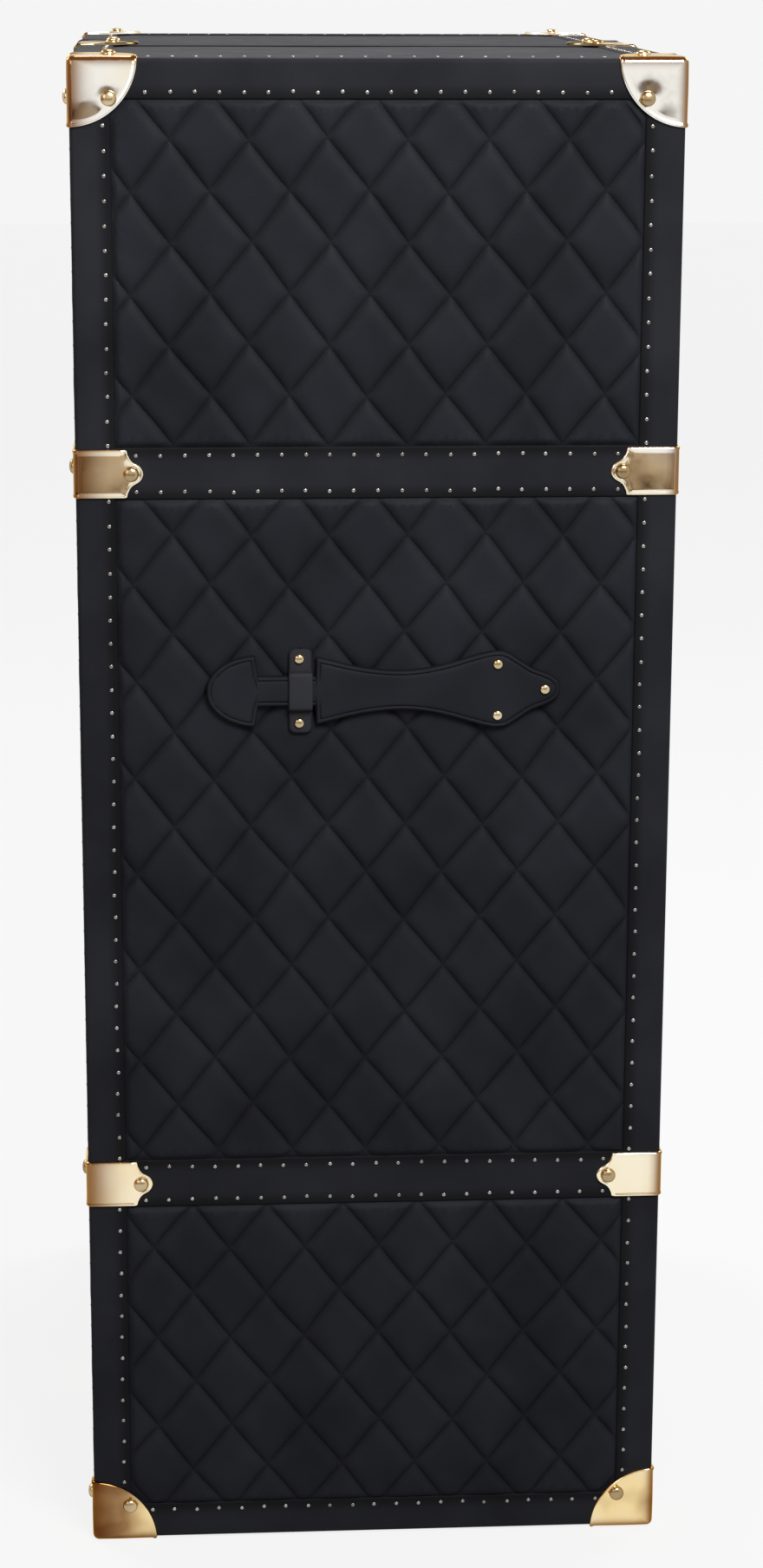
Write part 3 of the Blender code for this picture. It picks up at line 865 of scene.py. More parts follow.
class Palette:
    """Every finish of the trunk, made once."""

    def __init__(self) -> None:
        """Makes the materials."""
        # painted shade: a dark band along the strip edges where they roll down, partly the dyed cut edge
        self.strip = Leather(
            "strip_leather", (0.0128, 0.0132, 0.0164), (0.0200, 0.0206, 0.0250), in_seam=(0.34, 0.34, 0.33)
        ).material()
        # painted shade in the grooves between pillows and a painted shadow line along the strips
        self.quilt = Leather("quilt_leather", grain=560.0, relief=0.00018, in_seam=(0.74, 0.74, 0.76)).material()
        self.strap = Leather(
            "strap_leather", (0.0122, 0.0127, 0.0165), (0.0196, 0.0204, 0.0258), grain=800.0
        ).material()
        # painted light: the keeper is a paler copy of the strap leather, standing in for the light its arch catches
        self.keeper = Leather("keeper_leather", (0.024, 0.0245, 0.029), (0.034, 0.0347, 0.040)).material()
        self.thread = Thread("thread").material()
        # painted light: paler towards the top and back up to a near-white painted highlight, darker towards the bottom
        # and front
        self.brass = Brass(
            "case_brass", bright=(0.97, 0.94, 0.87), tones=(0.14, 0.30, 0.52), fresher=(0.0, 0.30, 0.62)
        ).material()
        # painted dark reflection: the rim caps get a much darker brass, standing in for the dark surroundings they
        # mirror
        self.rim = Brass(
            "rim_brass", (0.12, 0.09, 0.05), (0.28, 0.22, 0.13), (0.46, 0.38, 0.24), stain=(0.62, 0.55, 0.46)
        ).material()
        self.hinge = Brass("hinge_brass", (0.34, 0.22, 0.11), (0.60, 0.44, 0.23), (0.76, 0.60, 0.34)).material()
        self.rivet = Brass(
            "rivet_brass", (0.24, 0.16, 0.08), (0.48, 0.36, 0.20), (0.68, 0.55, 0.35), smooth=0.18, dull=0.28
        ).material()
        self.nail = Brass(
            "nail_brass", (0.19, 0.18, 0.16), (0.30, 0.29, 0.27), (0.38, 0.37, 0.35), smooth=0.20, dull=0.30
        ).material()
        self.handle = Brass(
            "handle_brass", (0.36, 0.27, 0.15), (0.62, 0.49, 0.29), (0.82, 0.71, 0.49), dull=0.22
        ).material()
        self.walnut = Walnut("walnut").material()
        self.suede = Suede("suede").material()


def dress(piece: Piece, body: str, finish: Finish, stands_for: Sequence[str] = ()) -> None:
    """Gives a piece its finish and its body.

    Args:
        piece: The piece, in place.
        body: CAD body that it moves with.
        finish: Its material.
        stands_for: CAD nodes that it is shown instead of.
    """
    piece.data.materials.clear()
    piece.data.materials.append(finish)
    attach(piece, body)
    if stands_for:
        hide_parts(*stands_for)
    LOG.info("%s moves with %s", piece.name, body)


@dataclass
class Assembly:
    """A sub-assembly of the trunk and the finishes it is dressed in."""

    palette: Palette


@dataclass
class Studs:
    """Brass heads of one form, gathered into one piece."""

    radius: float = 0.00175
    height: float = 0.0011
    sides: int = 14
    dome: Dome = Dome.LOW
    loose: float = 0.0003
    tilt: float = 0.03
    root: float = 0.0004
    spots: list[Arrays] = field(default_factory=list)

    def add(self, point: Array, normal: Array) -> None:
        """Puts one head at a point."""
        self.spots.append((np.asarray(point, float), np.asarray(normal, float)))

    def row(self, plane: Plane, start: Pair, end: Pair) -> None:
        """Puts a row of heads on a face, as evenly as a hand does it.

        Args:
            plane: The face.
            start: u and v of the first head.
            end: u and v of the last head.
        """
        count = round(math.dist(start, end) / CASE.nail_pitch) + 1
        for share in np.linspace(0.0, 1.0, count):
            spot = np.array(start) * (1.0 - share) + np.array(end) * share
            spot = spot + CHANCE.normal(0.0, self.loose, 2)
            normal = plane.normal + CHANCE.normal(0.0, self.tilt, 3)
            self.add(plane.place(spot[0], spot[1], 0.0), normal)

    def build(self, name: str, inside: Array) -> Piece:
        """Makes the piece.

        Args:
            name: Its name.
            inside: A point behind the heads.

        Returns:
            The new object.
        """
        rings = [(z * self.height, r * self.radius) for z, r in self.dome.value]
        form, sides = turned([(-self.root, self.radius), *rings], self.sides)
        heads = ((point + form @ axes_of(normal).T, sides) for point, normal in self.spots)
        return mesh_piece(name, *gathered(heads), inside)


@dataclass
class QuiltedPanel(Assembly):
    """Padded leather of one face, sewn in diamonds, with its thread."""

    plane: Plane
    crossings: Sequence[Pair]
    coarse: bool = True
    wide: float = 0.065
    tall: float = 0.083
    crown: float = 0.0031
    outer: float = 1.0
    outer_reach: float = 0.06
    ceiling: float = 0.0032
    groove: float = -0.0002
    crease: float = 0.0005
    crease_width: float = 0.0019
    reach: float = 0.0110
    fullness: float = 2.1
    uneven: float = 0.18
    pucker: float = 0.00010
    pucker_reach: float = 0.004
    dimples: float = 0.00012
    # painted shade: width of the darkened grooves and of the shadow line along the window rim
    dark_width: float = 0.0034
    dark_rim: float = 0.0016
    wander: float = 0.0011
    tuck: float = 0.003
    tucked: float = -0.0016
    slack: float = 0.001
    rim_hold: float = 0.006
    cap_hold: float = 0.005
    back: float = -0.0022
    stitch: float = 0.0045
    stitch_half: float = 0.00045
    stitch_lead: float = 0.33
    clear: float = 0.002
    fine_gaps: Numbers = (0.0, 0.0006, 0.0013, 0.0021, 0.0032, 0.0048, 0.0070, 0.0100, 0.0140, 0.0185)
    coarse_gaps: Numbers = (0.0, 0.0010, 0.0021, 0.0038, 0.0070, 0.0120, 0.0185)
    rim_cuts: Numbers = (0.0, 0.003, 0.005, 0.008)

    @property
    def node(self) -> str:
        """CAD node that the panel is shown instead of."""
        return f"{self.plane.half.label}_{self.plane.face.label}_quilt"

    @property
    def pitch(self) -> float:
        """Distance between neighbouring seams."""
        return self.wide * self.tall / math.hypot(self.wide, self.tall)

    def drift(self, u: Array, v: Array) -> Arrays:
        """How far hand sewing moves the seams.

        Args:
            u: Place across.
            v: Height.

        Returns:
            The way across and the way up.
        """
        across = np.sin(31.0 * v + 9.0 * u + 1.3) + 0.6 * np.sin(57.0 * v - 23.0 * u)
        up = np.sin(27.0 * u - 11.0 * v + 0.4) + 0.6 * np.sin(49.0 * u + 19.0 * v + 2.0)
        return self.wander * across, self.wander * up

    def sewn(self, drawn_u: Array, drawn_v: Array) -> Arrays:
        """Moves places of the drawn pattern to where hand sewing puts them.

        Args:
            drawn_u: Place across, as drawn.
            drawn_v: Height, as drawn.

        Returns:
            Place across and height, as sewn.
        """
        u, v = drawn_u, drawn_v
        for _ in range(3):
            across, up = self.drift(u, v)
            u, v = drawn_u - across, drawn_v - up
        return u, v

    def rim_gap(self, u: Array, v: Array, window: Pair) -> Array:
        """Distance in from the rim of a window."""
        start, end = self.plane.span
        return np.min((u - start - CASE.border, end - CASE.border - u, v - window[0], window[1] - v), axis=0)

    def cap_gap(self, u: Array, v: Array) -> Array:
        """Distance from the nearest corner cap."""
        gaps = [np.hypot(u - a, v - b) for a in self.plane.span for b in (CASE.low, CASE.top)]
        return np.min(gaps, axis=0) - CASE.cap

    def relief(self, u: Array, v: Array, crossing: Pair, window: Pair) -> Arrays:
        """Height of the leather over the strips, and its painted shade: darker in the grooves and in a painted shadow
        line along the rim of the window.

        Args:
            u: Place across.
            v: Height.
            crossing: Height over the case bottom and offset of a crossing of seams.
            window: Its lowest and highest height.

        Returns:
            Height in metres and painted shade share at each place.
        """
        across, up = self.drift(u, v)
        a = (u + across - crossing[1]) / self.wide
        b = (v + up - CASE.low - crossing[0]) / self.tall
        falling, rising = a + b, a - b
        gaps = [np.abs(value - np.round(value)) * self.pitch for value in (falling, rising)]
        puffs = [1.0 - (1.0 - np.clip(gap / self.reach, 0.0, 1.0)) ** self.fullness for gap in gaps]
        cell = np.sin(np.floor(falling) * 12.9898 + np.floor(rising) * 78.233) * 43758.5453
        pillow = puffs[0] * puffs[1] * (1.0 - self.uneven * (cell - np.floor(cell)))
        pucker = np.sin(falling * 38.0 + 1.7 * np.sin(rising * 9.0)) * np.exp(-gaps[1] / self.pucker_reach)
        pucker += np.sin(rising * 41.0 + 1.9 * np.sin(falling * 8.0)) * np.exp(-gaps[0] / self.pucker_reach)
        dimples = np.sin(171.0 * u + 40.0 * v) * np.sin(139.0 * v - 31.0 * u)
        inner = ease((self.plane.span[1] - CASE.border - u) / self.outer_reach)
        crown = self.crown * (self.outer + (1.0 - self.outer) * inner)
        crease = bell(np.minimum(gaps[0], gaps[1]), self.crease_width, 1.6)
        height = self.groove + (crown - self.groove) * pillow - self.crease * crease
        height += self.pucker * pucker + self.dimples * dimples * pillow
        edge = self.rim_gap(u, v, window)
        held = ease((edge + self.slack) / self.rim_hold)
        held = held * ease((self.cap_gap(u, v) + self.slack) / self.cap_hold)
        level = np.minimum(self.tucked * (1.0 - held) + height * held, self.ceiling)
        # painted shade in the grooves of both seam directions, and a painted shadow line where the strips overhang the
        # window rim
        seam = np.maximum(bell(gaps[0], self.dark_width), 0.9 * bell(gaps[1], self.dark_width))
        return level, np.maximum(seam, 0.9 * bell(np.maximum(edge, 0.0), self.dark_rim))

    def cuts(self) -> Array:
        """Where the sheet is divided between two seams, finest beside them.

        Returns:
            Shares of the way from seam to seam.
        """
        low = np.array(self.coarse_gaps if self.coarse else self.fine_gaps) / self.pitch
        return np.concatenate((low, (0.5,), 1.0 - low[:0:-1]))

    def flat_sheet(self, crossing: Pair, window: Pair) -> bmesh.types.BMesh:
        """The leather of one window laid flat, divided along its seams.

        Args:
            crossing: A crossing of seams.
            window: Its lowest and highest height.

        Returns:
            A mesh with u and v as x and y.
        """
        start, end = self.plane.span
        low = np.array((start + CASE.border - self.tuck, window[0] - self.tuck))
        high = np.array((end - CASE.border + self.tuck, window[1] + self.tuck))
        origin = np.array((crossing[1], CASE.low + crossing[0]))
        size = np.array((self.wide, self.tall))
        first, last = (low - origin) / size, (high - origin) / size
        ranges = ((first.sum(), last.sum()), (first[0] - last[1], last[0] - first[1]))
        lines = [
            np.concatenate([i + self.cuts() for i in range(math.floor(a) - 1, math.ceil(b) + 1)])
            for a, b in ranges
        ]
        falling, rising = np.meshgrid(*lines)
        drawn_u = origin[0] + (falling + rising) / 2 * self.wide
        drawn_v = origin[1] + (falling - rising) / 2 * self.tall
        spots = joined(*self.sewn(drawn_u, drawn_v)).reshape(-1, 2)
        faces = sheet_faces(*falling.shape)
        some = spots[faces]
        keep = ((some.max(axis=1) > low) & (some.min(axis=1) < high)).all(axis=1)
        used, numbers = np.unique(faces[keep], return_inverse=True)
        mesh = bpy.data.meshes.new("flat")
        mesh.from_pydata(np.pad(spots[used], ((0, 0), (0, 1))), [], numbers.reshape(-1, 4))
        work = bmesh.new()
        work.from_mesh(mesh)
        bpy.data.meshes.remove(mesh)
        for axis in (0, 1):
            for side, sign in ((low, -1.0), (high, 1.0)):
                self.cut_rim(work, axis, side[axis], sign)
        return work

    def cut_rim(self, work: bmesh.types.BMesh, axis: int, place: float, sign: float) -> None:
        """Trims a flat sheet along one side and divides it where it bends into the window.

        Args:
            work: The sheet.
            axis: Axis across the side.
            place: Where the side is on that axis.
            sign: Sign of the way out.
        """
        way = np.zeros(3)
        way[axis] = sign
        for inset in self.rim_cuts:
            spot = np.zeros(3)
            spot[axis] = place - sign * inset
            every = work.verts[:] + work.edges[:] + work.faces[:]
            bmesh.ops.bisect_plane(work, geom=every, dist=1e-7, plane_co=spot, plane_no=way, clear_outer=inset == 0.0)

    def window_sheet(self, crossing: Pair, window: Pair) -> tuple[Array, list[list[int]], Array]:
        """Points, faces and painted shade shares of the padded leather in one window, closed behind.

        Args:
            crossing: A crossing of seams.
            window: Its lowest and highest height.

        Returns:
            Points, faces, and the painted shade share of each point.
        """
        work = self.flat_sheet(crossing, window)
        front = len(work.verts)
        rim = [edge for edge in work.edges if edge.is_boundary]
        skirt = bmesh.ops.extrude_edge_only(work, edges=rim)["geom"]
        bmesh.ops.holes_fill(work, edges=[part for part in skirt if isinstance(part, bmesh.types.BMEdge)], sides=0)
        work.verts.index_update()
        u, v = np.array([vert.co[:2] for vert in work.verts]).T
        faces = sorted([vert.index for vert in face.verts] for face in work.faces)
        work.free()
        level, seam = self.relief(u, v, crossing, window)
        level[front:] = self.back
        return self.plane.place(u, v, level), faces, seam

    def seam_spots(self, crossing: Pair, window: Pair) -> Array:
        """Start and end of every stitch of a window, in u and v.

        Args:
            crossing: A crossing of seams.
            window: Its lowest and highest height.

        Returns:
            Pairs of places, stitch by end by (u, v).
        """
        start, end = self.plane.span
        side = math.hypot(self.wide, self.tall) / 2
        reach = int((end - start) / self.wide + (window[1] - window[0]) / self.tall) + 3
        share = np.arange(-reach, reach, self.stitch / side)
        centre = CASE.low + crossing[0]
        middle = round(((window[0] + window[1]) / 2 - centre) / self.tall)
        found = []
        for line in range(-reach, reach + 1):
            for way in (1, -1):
                ends = []
                for lead in (-self.stitch_lead, self.stitch_lead):
                    along = share + lead * self.stitch / side
                    drawn_u = crossing[1] + (line + along) / 2 * self.wide
                    drawn_v = centre + (way * (line - along) / 2 + middle) * self.tall
                    ends.append(joined(*self.sewn(drawn_u, drawn_v)))
                found.append(np.stack(ends, axis=1))
        spots = np.concatenate(found)
        u, v = spots.mean(axis=1).T
        return spots[(self.rim_gap(u, v, window) > self.clear) & (self.cap_gap(u, v) > self.clear)]

    def thread(self) -> Piece:
        """Makes the stitches of all windows as one piece.

        Returns:
            The new object.
        """
        points = []
        for crossing, window in zip(self.crossings, CASE.zones):
            spots = self.seam_spots(crossing, window)
            mean = spots.mean(axis=1)
            way = spots[:, 1] - spots[:, 0]
            off = joined(-way[:, 1], way[:, 0])
            off = off / np.linalg.norm(off, axis=1, keepdims=True) * self.stitch_half
            level, _ = self.relief(*mean.T, crossing, window)
            ring = ((spots[:, 0], 0.0), (mean + off, 0.0001), (spots[:, 1], 0.0), (mean - off, 0.0001), (mean, 0.0005))
            points.append(np.stack([self.plane.place(*p.T, level + lift) for p, lift in ring], axis=1))
        ends = np.concatenate(points)
        base = (np.arange(len(ends)) * ends.shape[1])[:, None]
        sides = [base + np.array(side) for side in ((0, 1, 4), (1, 2, 4), (2, 3, 4), (3, 0, 4))]
        return mesh_piece(f"{self.node}_thread", ends, np.concatenate(sides), self.plane.half.middle)

    def build(self) -> None:
        """Makes the padded sheet and its thread, and dresses them."""
        half = self.plane.half
        sheets = [self.window_sheet(*pair) for pair in zip(self.crossings, CASE.zones)]
        points, faces = gathered((some, sides) for some, sides, _ in sheets)
        # painted shade shares of all windows
        seam = np.concatenate([share for _, _, share in sheets])
        piece = mesh_piece(f"{self.node}_leather", points, faces, half.middle, seam=seam)
        dress(piece, half.body, self.palette.quilt, [self.node])
        dress(self.thread(), half.body, self.palette.thread)


@dataclass
class Strips(Assembly):
    """Leather over the edges, along the seam and in two bands round a half."""

    half: Half
    thick: float = 0.002
    roll: float = 0.0016
    roll_drop: float = 0.0009
    short: float = 0.008
    overlap: float = 0.001
    sunk: float = 0.0001
    # painted shade: how dark the band along the strip edges is and how far it reaches, partly the dyed cut edge
    dark: float = 0.85
    dark_reach: float = 0.0085
    columns: int = 9
    insets: Numbers = (0.0, 0.0, 0.0004, 0.0008, 0.0012, 0.0016, 0.003, 0.0045, 0.006, 0.008, 0.012)
    last_inset: float = 0.020

    def section(self, inset: Array) -> Arrays:
        """Rolled edge of a strip, from its underside on.

        Args:
            inset: Distances in from the edge.

        Returns:
            Height, and painted shade there: a dark band by the edge where the strip rolls down, partly the dyed cut
                edge.
        """
        level = -self.roll_drop * (1.0 - np.clip(inset / self.roll, 0.0, 1.0)) ** 2
        level[0] = -self.thick
        # painted shade band along the edge, partly the dyed cut edge
        return level, self.dark * bell(inset, self.dark_reach, 3)

    def edge_strip(self, name: str, along: Pair, edge: Edge, way: Way, end: End) -> Piece:
        """Makes one strip over an edge.

        Args:
            name: Name of the piece.
            along: Where it starts and ends along the edge.
            edge: Which way the edge runs.
            way: Whether the edge is at the front or the back.
            end: Whether it is at the top or the bottom.

        Returns:
            The new object.
        """
        inset = np.array((*self.insets, self.last_inset))
        level, shade = self.section(inset)
        leg = joined(CASE.border - inset, -level)
        turn = np.linspace(0.0, math.pi / 2, 7)
        bend = CASE.edge * (1.0 - joined(np.sin(turn), np.cos(turn)))
        section = np.concatenate((leg, bend, leg[::-1, ::-1]))
        shade = np.concatenate((shade, np.zeros(len(turn)), shade[::-1]))
        c, a = np.meshgrid(np.linspace(*along, self.columns), section[:, 0], indexing="ij")
        b, seam = (np.broadcast_to(row, a.shape) for row in (section[:, 1], shade))
        sign, height = self.half.value, CASE.height_of(end)
        if edge is Edge.UPRIGHT:
            points = (sign * (CASE.half_width - b), way.value * (CASE.half_depth - a), c)
        elif edge is Edge.SIDE:
            points = (sign * (CASE.half_width - b), c, height - end.value * a)
        else:
            points = (sign * c, way.value * (CASE.half_depth - a), height - end.value * b)
        return mesh_piece(name, joined(*points), sheet_faces(*a.shape), self.half.middle, seam=seam)

    def flat_strip(self, name: str, plane: Plane, low: Pair, high: Pair, across_u: bool) -> Piece:
        """Makes one flat strip on a face.

        Args:
            name: Name of the piece.
            plane: The face.
            low: Lowest u and v.
            high: Highest u and v.
            across_u: Whether its width runs along u.

        Returns:
            The new object.
        """
        size = (high[0] - low[0], high[1] - low[1])
        inset = np.array(self.insets)
        level, shade = self.section(inset)
        width = size[0] if across_u else size[1]
        across = np.concatenate((inset, (width - inset)[::-1]))
        share, across = np.meshgrid(np.linspace(0.0, 1.0, self.columns), across, indexing="ij")
        u = low[0] + (across if across_u else size[0] * share)
        v = low[1] + (size[1] * share if across_u else across)
        points = plane.place(u, v, np.concatenate((level, level[::-1])) - self.sunk)
        seam = np.broadcast_to(np.concatenate((shade, shade[::-1])), u.shape)
        return mesh_piece(name, points, sheet_faces(*u.shape), self.half.middle, seam=seam)

    def build(self) -> None:
        """Makes and dresses all strips of the half."""
        label = self.half.label
        made = []
        inner_z = (CASE.low + self.short, CASE.top - self.short)
        inner_y = (-CASE.half_depth + self.short, CASE.half_depth - self.short)
        cross = (CASE.rim, CASE.half_width - self.short)
        for way in Way:
            made.append(self.edge_strip(f"{label}_{way.label}_edge_strip", inner_z, Edge.UPRIGHT, way, End.TOP))
            for end in End:
                name = f"{label}_{way.label}_{end.label}_strip"
                made.append(self.edge_strip(name, cross, Edge.CROSS, way, end))
        for end in End:
            made.append(self.edge_strip(f"{label}_side_{end.label}_strip", inner_y, Edge.SIDE, Way.BACK, end))
            made.append(self.seam_strip(Face[end.name], inner_y))
        for way in Way:
            made.append(self.seam_strip(Face[way.name], inner_z))
        for face in (Face.SIDE, Face.FRONT, Face.BACK):
            plane = Plane(self.half, face)
            start, end = plane.span
            reach = (start + CASE.border - self.overlap, end - CASE.border + self.overlap)
            for level, height in zip(Level, CASE.bands):
                low, high = (reach[0], height - CASE.band / 2), (reach[1], height + CASE.band / 2)
                made.append(self.flat_strip(f"{label}_{face.label}_{level.label}_band", plane, low, high, False))
        for piece in made:
            dress(piece, self.half.body, self.palette.strip, [f"{label}_binding"])

    def seam_strip(self, face: Face, along: Pair) -> Piece:
        """Makes the strip of a face that runs along the seam between the halves."""
        low, high = (CASE.rim, along[0]), (CASE.border, along[1])
        return self.flat_strip(f"{self.half.label}_{face.label}_seam_strip", Plane(self.half, face), low, high, True)


@dataclass
class PlainPanel(Assembly):
    """Smooth leather in the window of the top or the bottom."""

    plane: Plane
    tuck: float = 0.002
    level: float = -0.0013
    waves: float = 0.00025
    rows: int = 80
    columns: int = 60

    def build(self) -> None:
        """Makes and dresses the sheet."""
        half = self.plane.half
        border = CASE.border - self.tuck
        reach = CASE.half_depth - border
        u, v = np.meshgrid(
            np.linspace(border, CASE.half_width - border, self.columns),
            np.linspace(-reach, reach, self.rows),
        )
        sag = self.waves * np.sin(23.0 * u + 7.0 * v) * np.sin(17.0 * v - 5.0 * u)
        name = f"{half.label}_{self.plane.face.label}_leather"
        points = self.plane.place(u, v, sag + self.level)
        piece = mesh_piece(name, points, sheet_faces(*u.shape), half.middle)
        dress(piece, half.body, self.palette.strip)


@dataclass
class CornerCap(Assembly):
    """A pressed brass cap on a corner of a half, with a rolled rim and a rivet on each flange."""

    half: Half
    way: Way
    end: End
    at_seam: bool
    edge: float = 0.0055
    lift: float = 0.0015
    rivet: float = 0.032
    bulge: float = 0.0006
    dimple: float = 0.0005
    dimple_width: float = 0.0085
    bulge_middle: float = 0.45
    bulge_reach: float = 0.62
    floor: float = 0.0001
    turns: int = 61
    bend: Numbers = (0.0, 0.0012, 0.0025, 0.004, 0.0055, 0.0075)
    flat: Triple = (0.0100, 0.0510, 0.0020)
    roll: Numbers = (0.0052, 0.0040, 0.0031, 0.0023, 0.0015, 0.0008, 0.0003, 0.0, 0.0)
    roll_rise: Numbers = (0.0, 0.0001, 0.00045, 0.0008, 0.0009, 0.0006, 0.0001, -0.0006, -0.0015)
    # painted dark reflection and shade along the case edges: how far it reaches in, further at the front and most at
    # the bottom front
    dark: float = 0.005
    dark_front: Pair = (0.012, 0.026)

    @property
    def name(self) -> str:
        """CAD node that the cap is shown instead of."""
        kind = "rim_cap" if self.at_seam else "cap"
        return f"{self.half.label}_{self.way.label}_{self.end.label}_{kind}"

    def settle(self, local: Array) -> Array:
        """Puts points from the corner's own axes into the frame.

        Args:
            local: Distances in from the three faces.

        Returns:
            Points in the frame.
        """
        x = CASE.rim + local[..., 0] if self.at_seam else CASE.half_width - local[..., 0]
        y = self.way.value * (CASE.half_depth - local[..., 1])
        z = CASE.height_of(self.end) - self.end.value * local[..., 2]
        return joined(self.half.value * x, y, z)

    def flange(self, normal_axis: int) -> Array:
        """Points of one flange, ring by ring from the corner.

        Args:
            normal_axis: Axis that the flange looks along.

        Returns:
            Points by ring and by turn, in the corner's own axes.
        """
        inner = np.concatenate((self.bend, np.arange(*self.flat)))
        ring = np.concatenate((inner, CASE.cap - np.array(self.roll)))[:, None]
        level = np.concatenate((np.zeros(len(inner)), self.roll_rise))[:, None]
        turn = (math.pi / 4 * (1.0 - np.cos(np.linspace(0.0, math.pi, self.turns))))[None, :]
        first, second = [axis for axis in range(3) if axis != normal_axis]
        flat = np.zeros((ring.shape[0], turn.shape[1], 3))
        flat[..., first] = ring * np.cos(turn)
        flat[..., second] = ring * np.sin(turn)
        from_rivet = np.hypot(flat[..., first] - self.rivet, flat[..., second] - self.rivet)
        middle = self.bulge_middle * CASE.cap
        from_middle = np.hypot(flat[..., first] - middle, flat[..., second] - middle)
        level = level + self.bulge * (1.0 - ease(from_middle / (self.bulge_reach * CASE.cap)))
        level = level - self.dimple * bell(from_rivet, self.dimple_width)
        held = np.maximum(flat, self.edge)
        shift = np.full(3, -self.lift)
        if self.at_seam:
            held[..., 0] = flat[..., 0]
            shift[0] = 0.0
        way = flat - held
        way /= np.linalg.norm(way, axis=-1, keepdims=True)
        return held + (self.edge + level[..., None]) * way + shift

    def build(self, rivets: Studs) -> None:
        """Makes and dresses the cap and gives its rivets to the rest.

        Args:
            rivets: Rivets of the half.
        """
        forms: list[Form] = []
        for axis in (1, 2) if self.at_seam else (0, 1, 2):
            grid = self.settle(self.flange(axis))
            grid[..., 2] = np.maximum(grid[..., 2], self.floor)
            forms.append((grid, sheet_faces(*grid.shape[:2]).tolist()))
            if axis == 2 and self.end is End.BOTTOM:
                continue
            spot = np.full(3, self.rivet)
            spot[axis] = -self.lift
            out = spot.copy()
            out[axis] -= 1.0
            rivets.add(self.settle(spot), self.settle(out) - self.settle(spot))
        piece = mesh_piece(f"{self.name}_brass", *gathered(forms), self.half.middle, weld=True)
        # painted dark reflection and shade along the case edges
        side = TINY if self.at_seam else self.dark
        front = self.dark_front[0 if self.end is End.TOP else 1]
        tarnish(piece, (side, self.dark if self.way is Way.BACK else front, self.dark))
        finish = self.palette.rim if self.at_seam else self.palette.brass
        dress(piece, self.half.body, finish, [self.name])


@dataclass
class EdgeClamp(Assembly):
    """A brass clamp round an upright edge where a band meets it."""

    half: Half
    way: Way
    level: Level
    lift: float = 0.0018
    edge: float = 0.0058
    rivet: float = 0.0475
    half_height: float = 0.0205
    leg: Numbers = (0.0415, 0.038, 0.030, 0.020, 0.012, 0.0075, 0.0055, 0.0040, 0.0026, 0.0012)
    nose: Pairs = (
        (0.0580, 0.0006), (0.0577, 0.0022), (0.0571, 0.0038), (0.0560, 0.0056), (0.0546, 0.0070), (0.0530, 0.0081),
        (0.0512, 0.0091), (0.0495, 0.0100), (0.0478, 0.0116), (0.0464, 0.0138), (0.0454, 0.0162), (0.0446, 0.0185),
        (0.0440, 0.0205),
    )
    roll: Numbers = (0.0, 0.0003, 0.0008, 0.0014, 0.0021, 0.0028, 0.0036)
    roll_rise: Numbers = (-0.0013, -0.0006, 0.0000, 0.0004, 0.0005, 0.0002, 0.0)
    insets: Triple = (0.006, 0.010, 0.016)
    # painted dark reflection and shade along the case edges: how far it reaches in, furthest at the front
    dark: float = 0.005
    dark_front: float = 0.020
    dark_back: float = 0.006

    @property
    def name(self) -> str:
        """CAD node that the clamp is shown instead of."""
        return f"{self.half.label}_{self.way.label}_{self.level.label}_clamp"

    def settle(self, along: Array, across: Array, lift: Array) -> Array:
        """Bends flat points round the edge.

        Args:
            along: Distance from the edge, positive on the side and negative on the front or back.
            across: Height from the middle of the band.
            lift: Height over the brass.

        Returns:
            Points in the frame.
        """
        flat = joined(np.maximum(-along, 0.0), np.maximum(along, 0.0))
        held = np.maximum(flat, self.edge)
        out = flat - held
        out /= np.linalg.norm(out, axis=-1, keepdims=True)
        local = held + (self.edge + lift)[..., None] * out - self.lift
        x = self.half.value * (CASE.half_width - local[..., 0])
        y = self.way.value * (CASE.half_depth - local[..., 1])
        return joined(x, y, CASE.bands[self.level.value] + across)

    def build(self, rivets: Studs) -> None:
        """Makes and dresses the clamp and gives its rivets to the rest.

        Args:
            rivets: Rivets of the half.
        """
        leg = [*self.nose, *((place, self.half_height) for place in self.leg)]
        stations = [(-place, half) for place, half in leg] + [(0.0, self.half_height)] + leg[::-1]
        along, across, distance = outlined_grid(stations, (*self.roll, *self.insets))
        points = self.settle(along, across, np.interp(distance, self.roll, self.roll_rise))
        piece = mesh_piece(f"{self.name}_brass", points, sheet_faces(*along.shape), self.half.middle, weld=True)
        # painted dark reflection and shade along the case edges
        tarnish(piece, (self.dark, self.dark_front if self.way is Way.FRONT else self.dark_back, self.dark))
        dress(piece, self.half.body, self.palette.brass, [self.name])
        for place in (self.rivet, -self.rivet):
            spot, out = (self.settle(np.array(place), np.array(0.0), np.array(lift)) for lift in (0.0, 0.01))
            rivets.add(spot, out - spot)


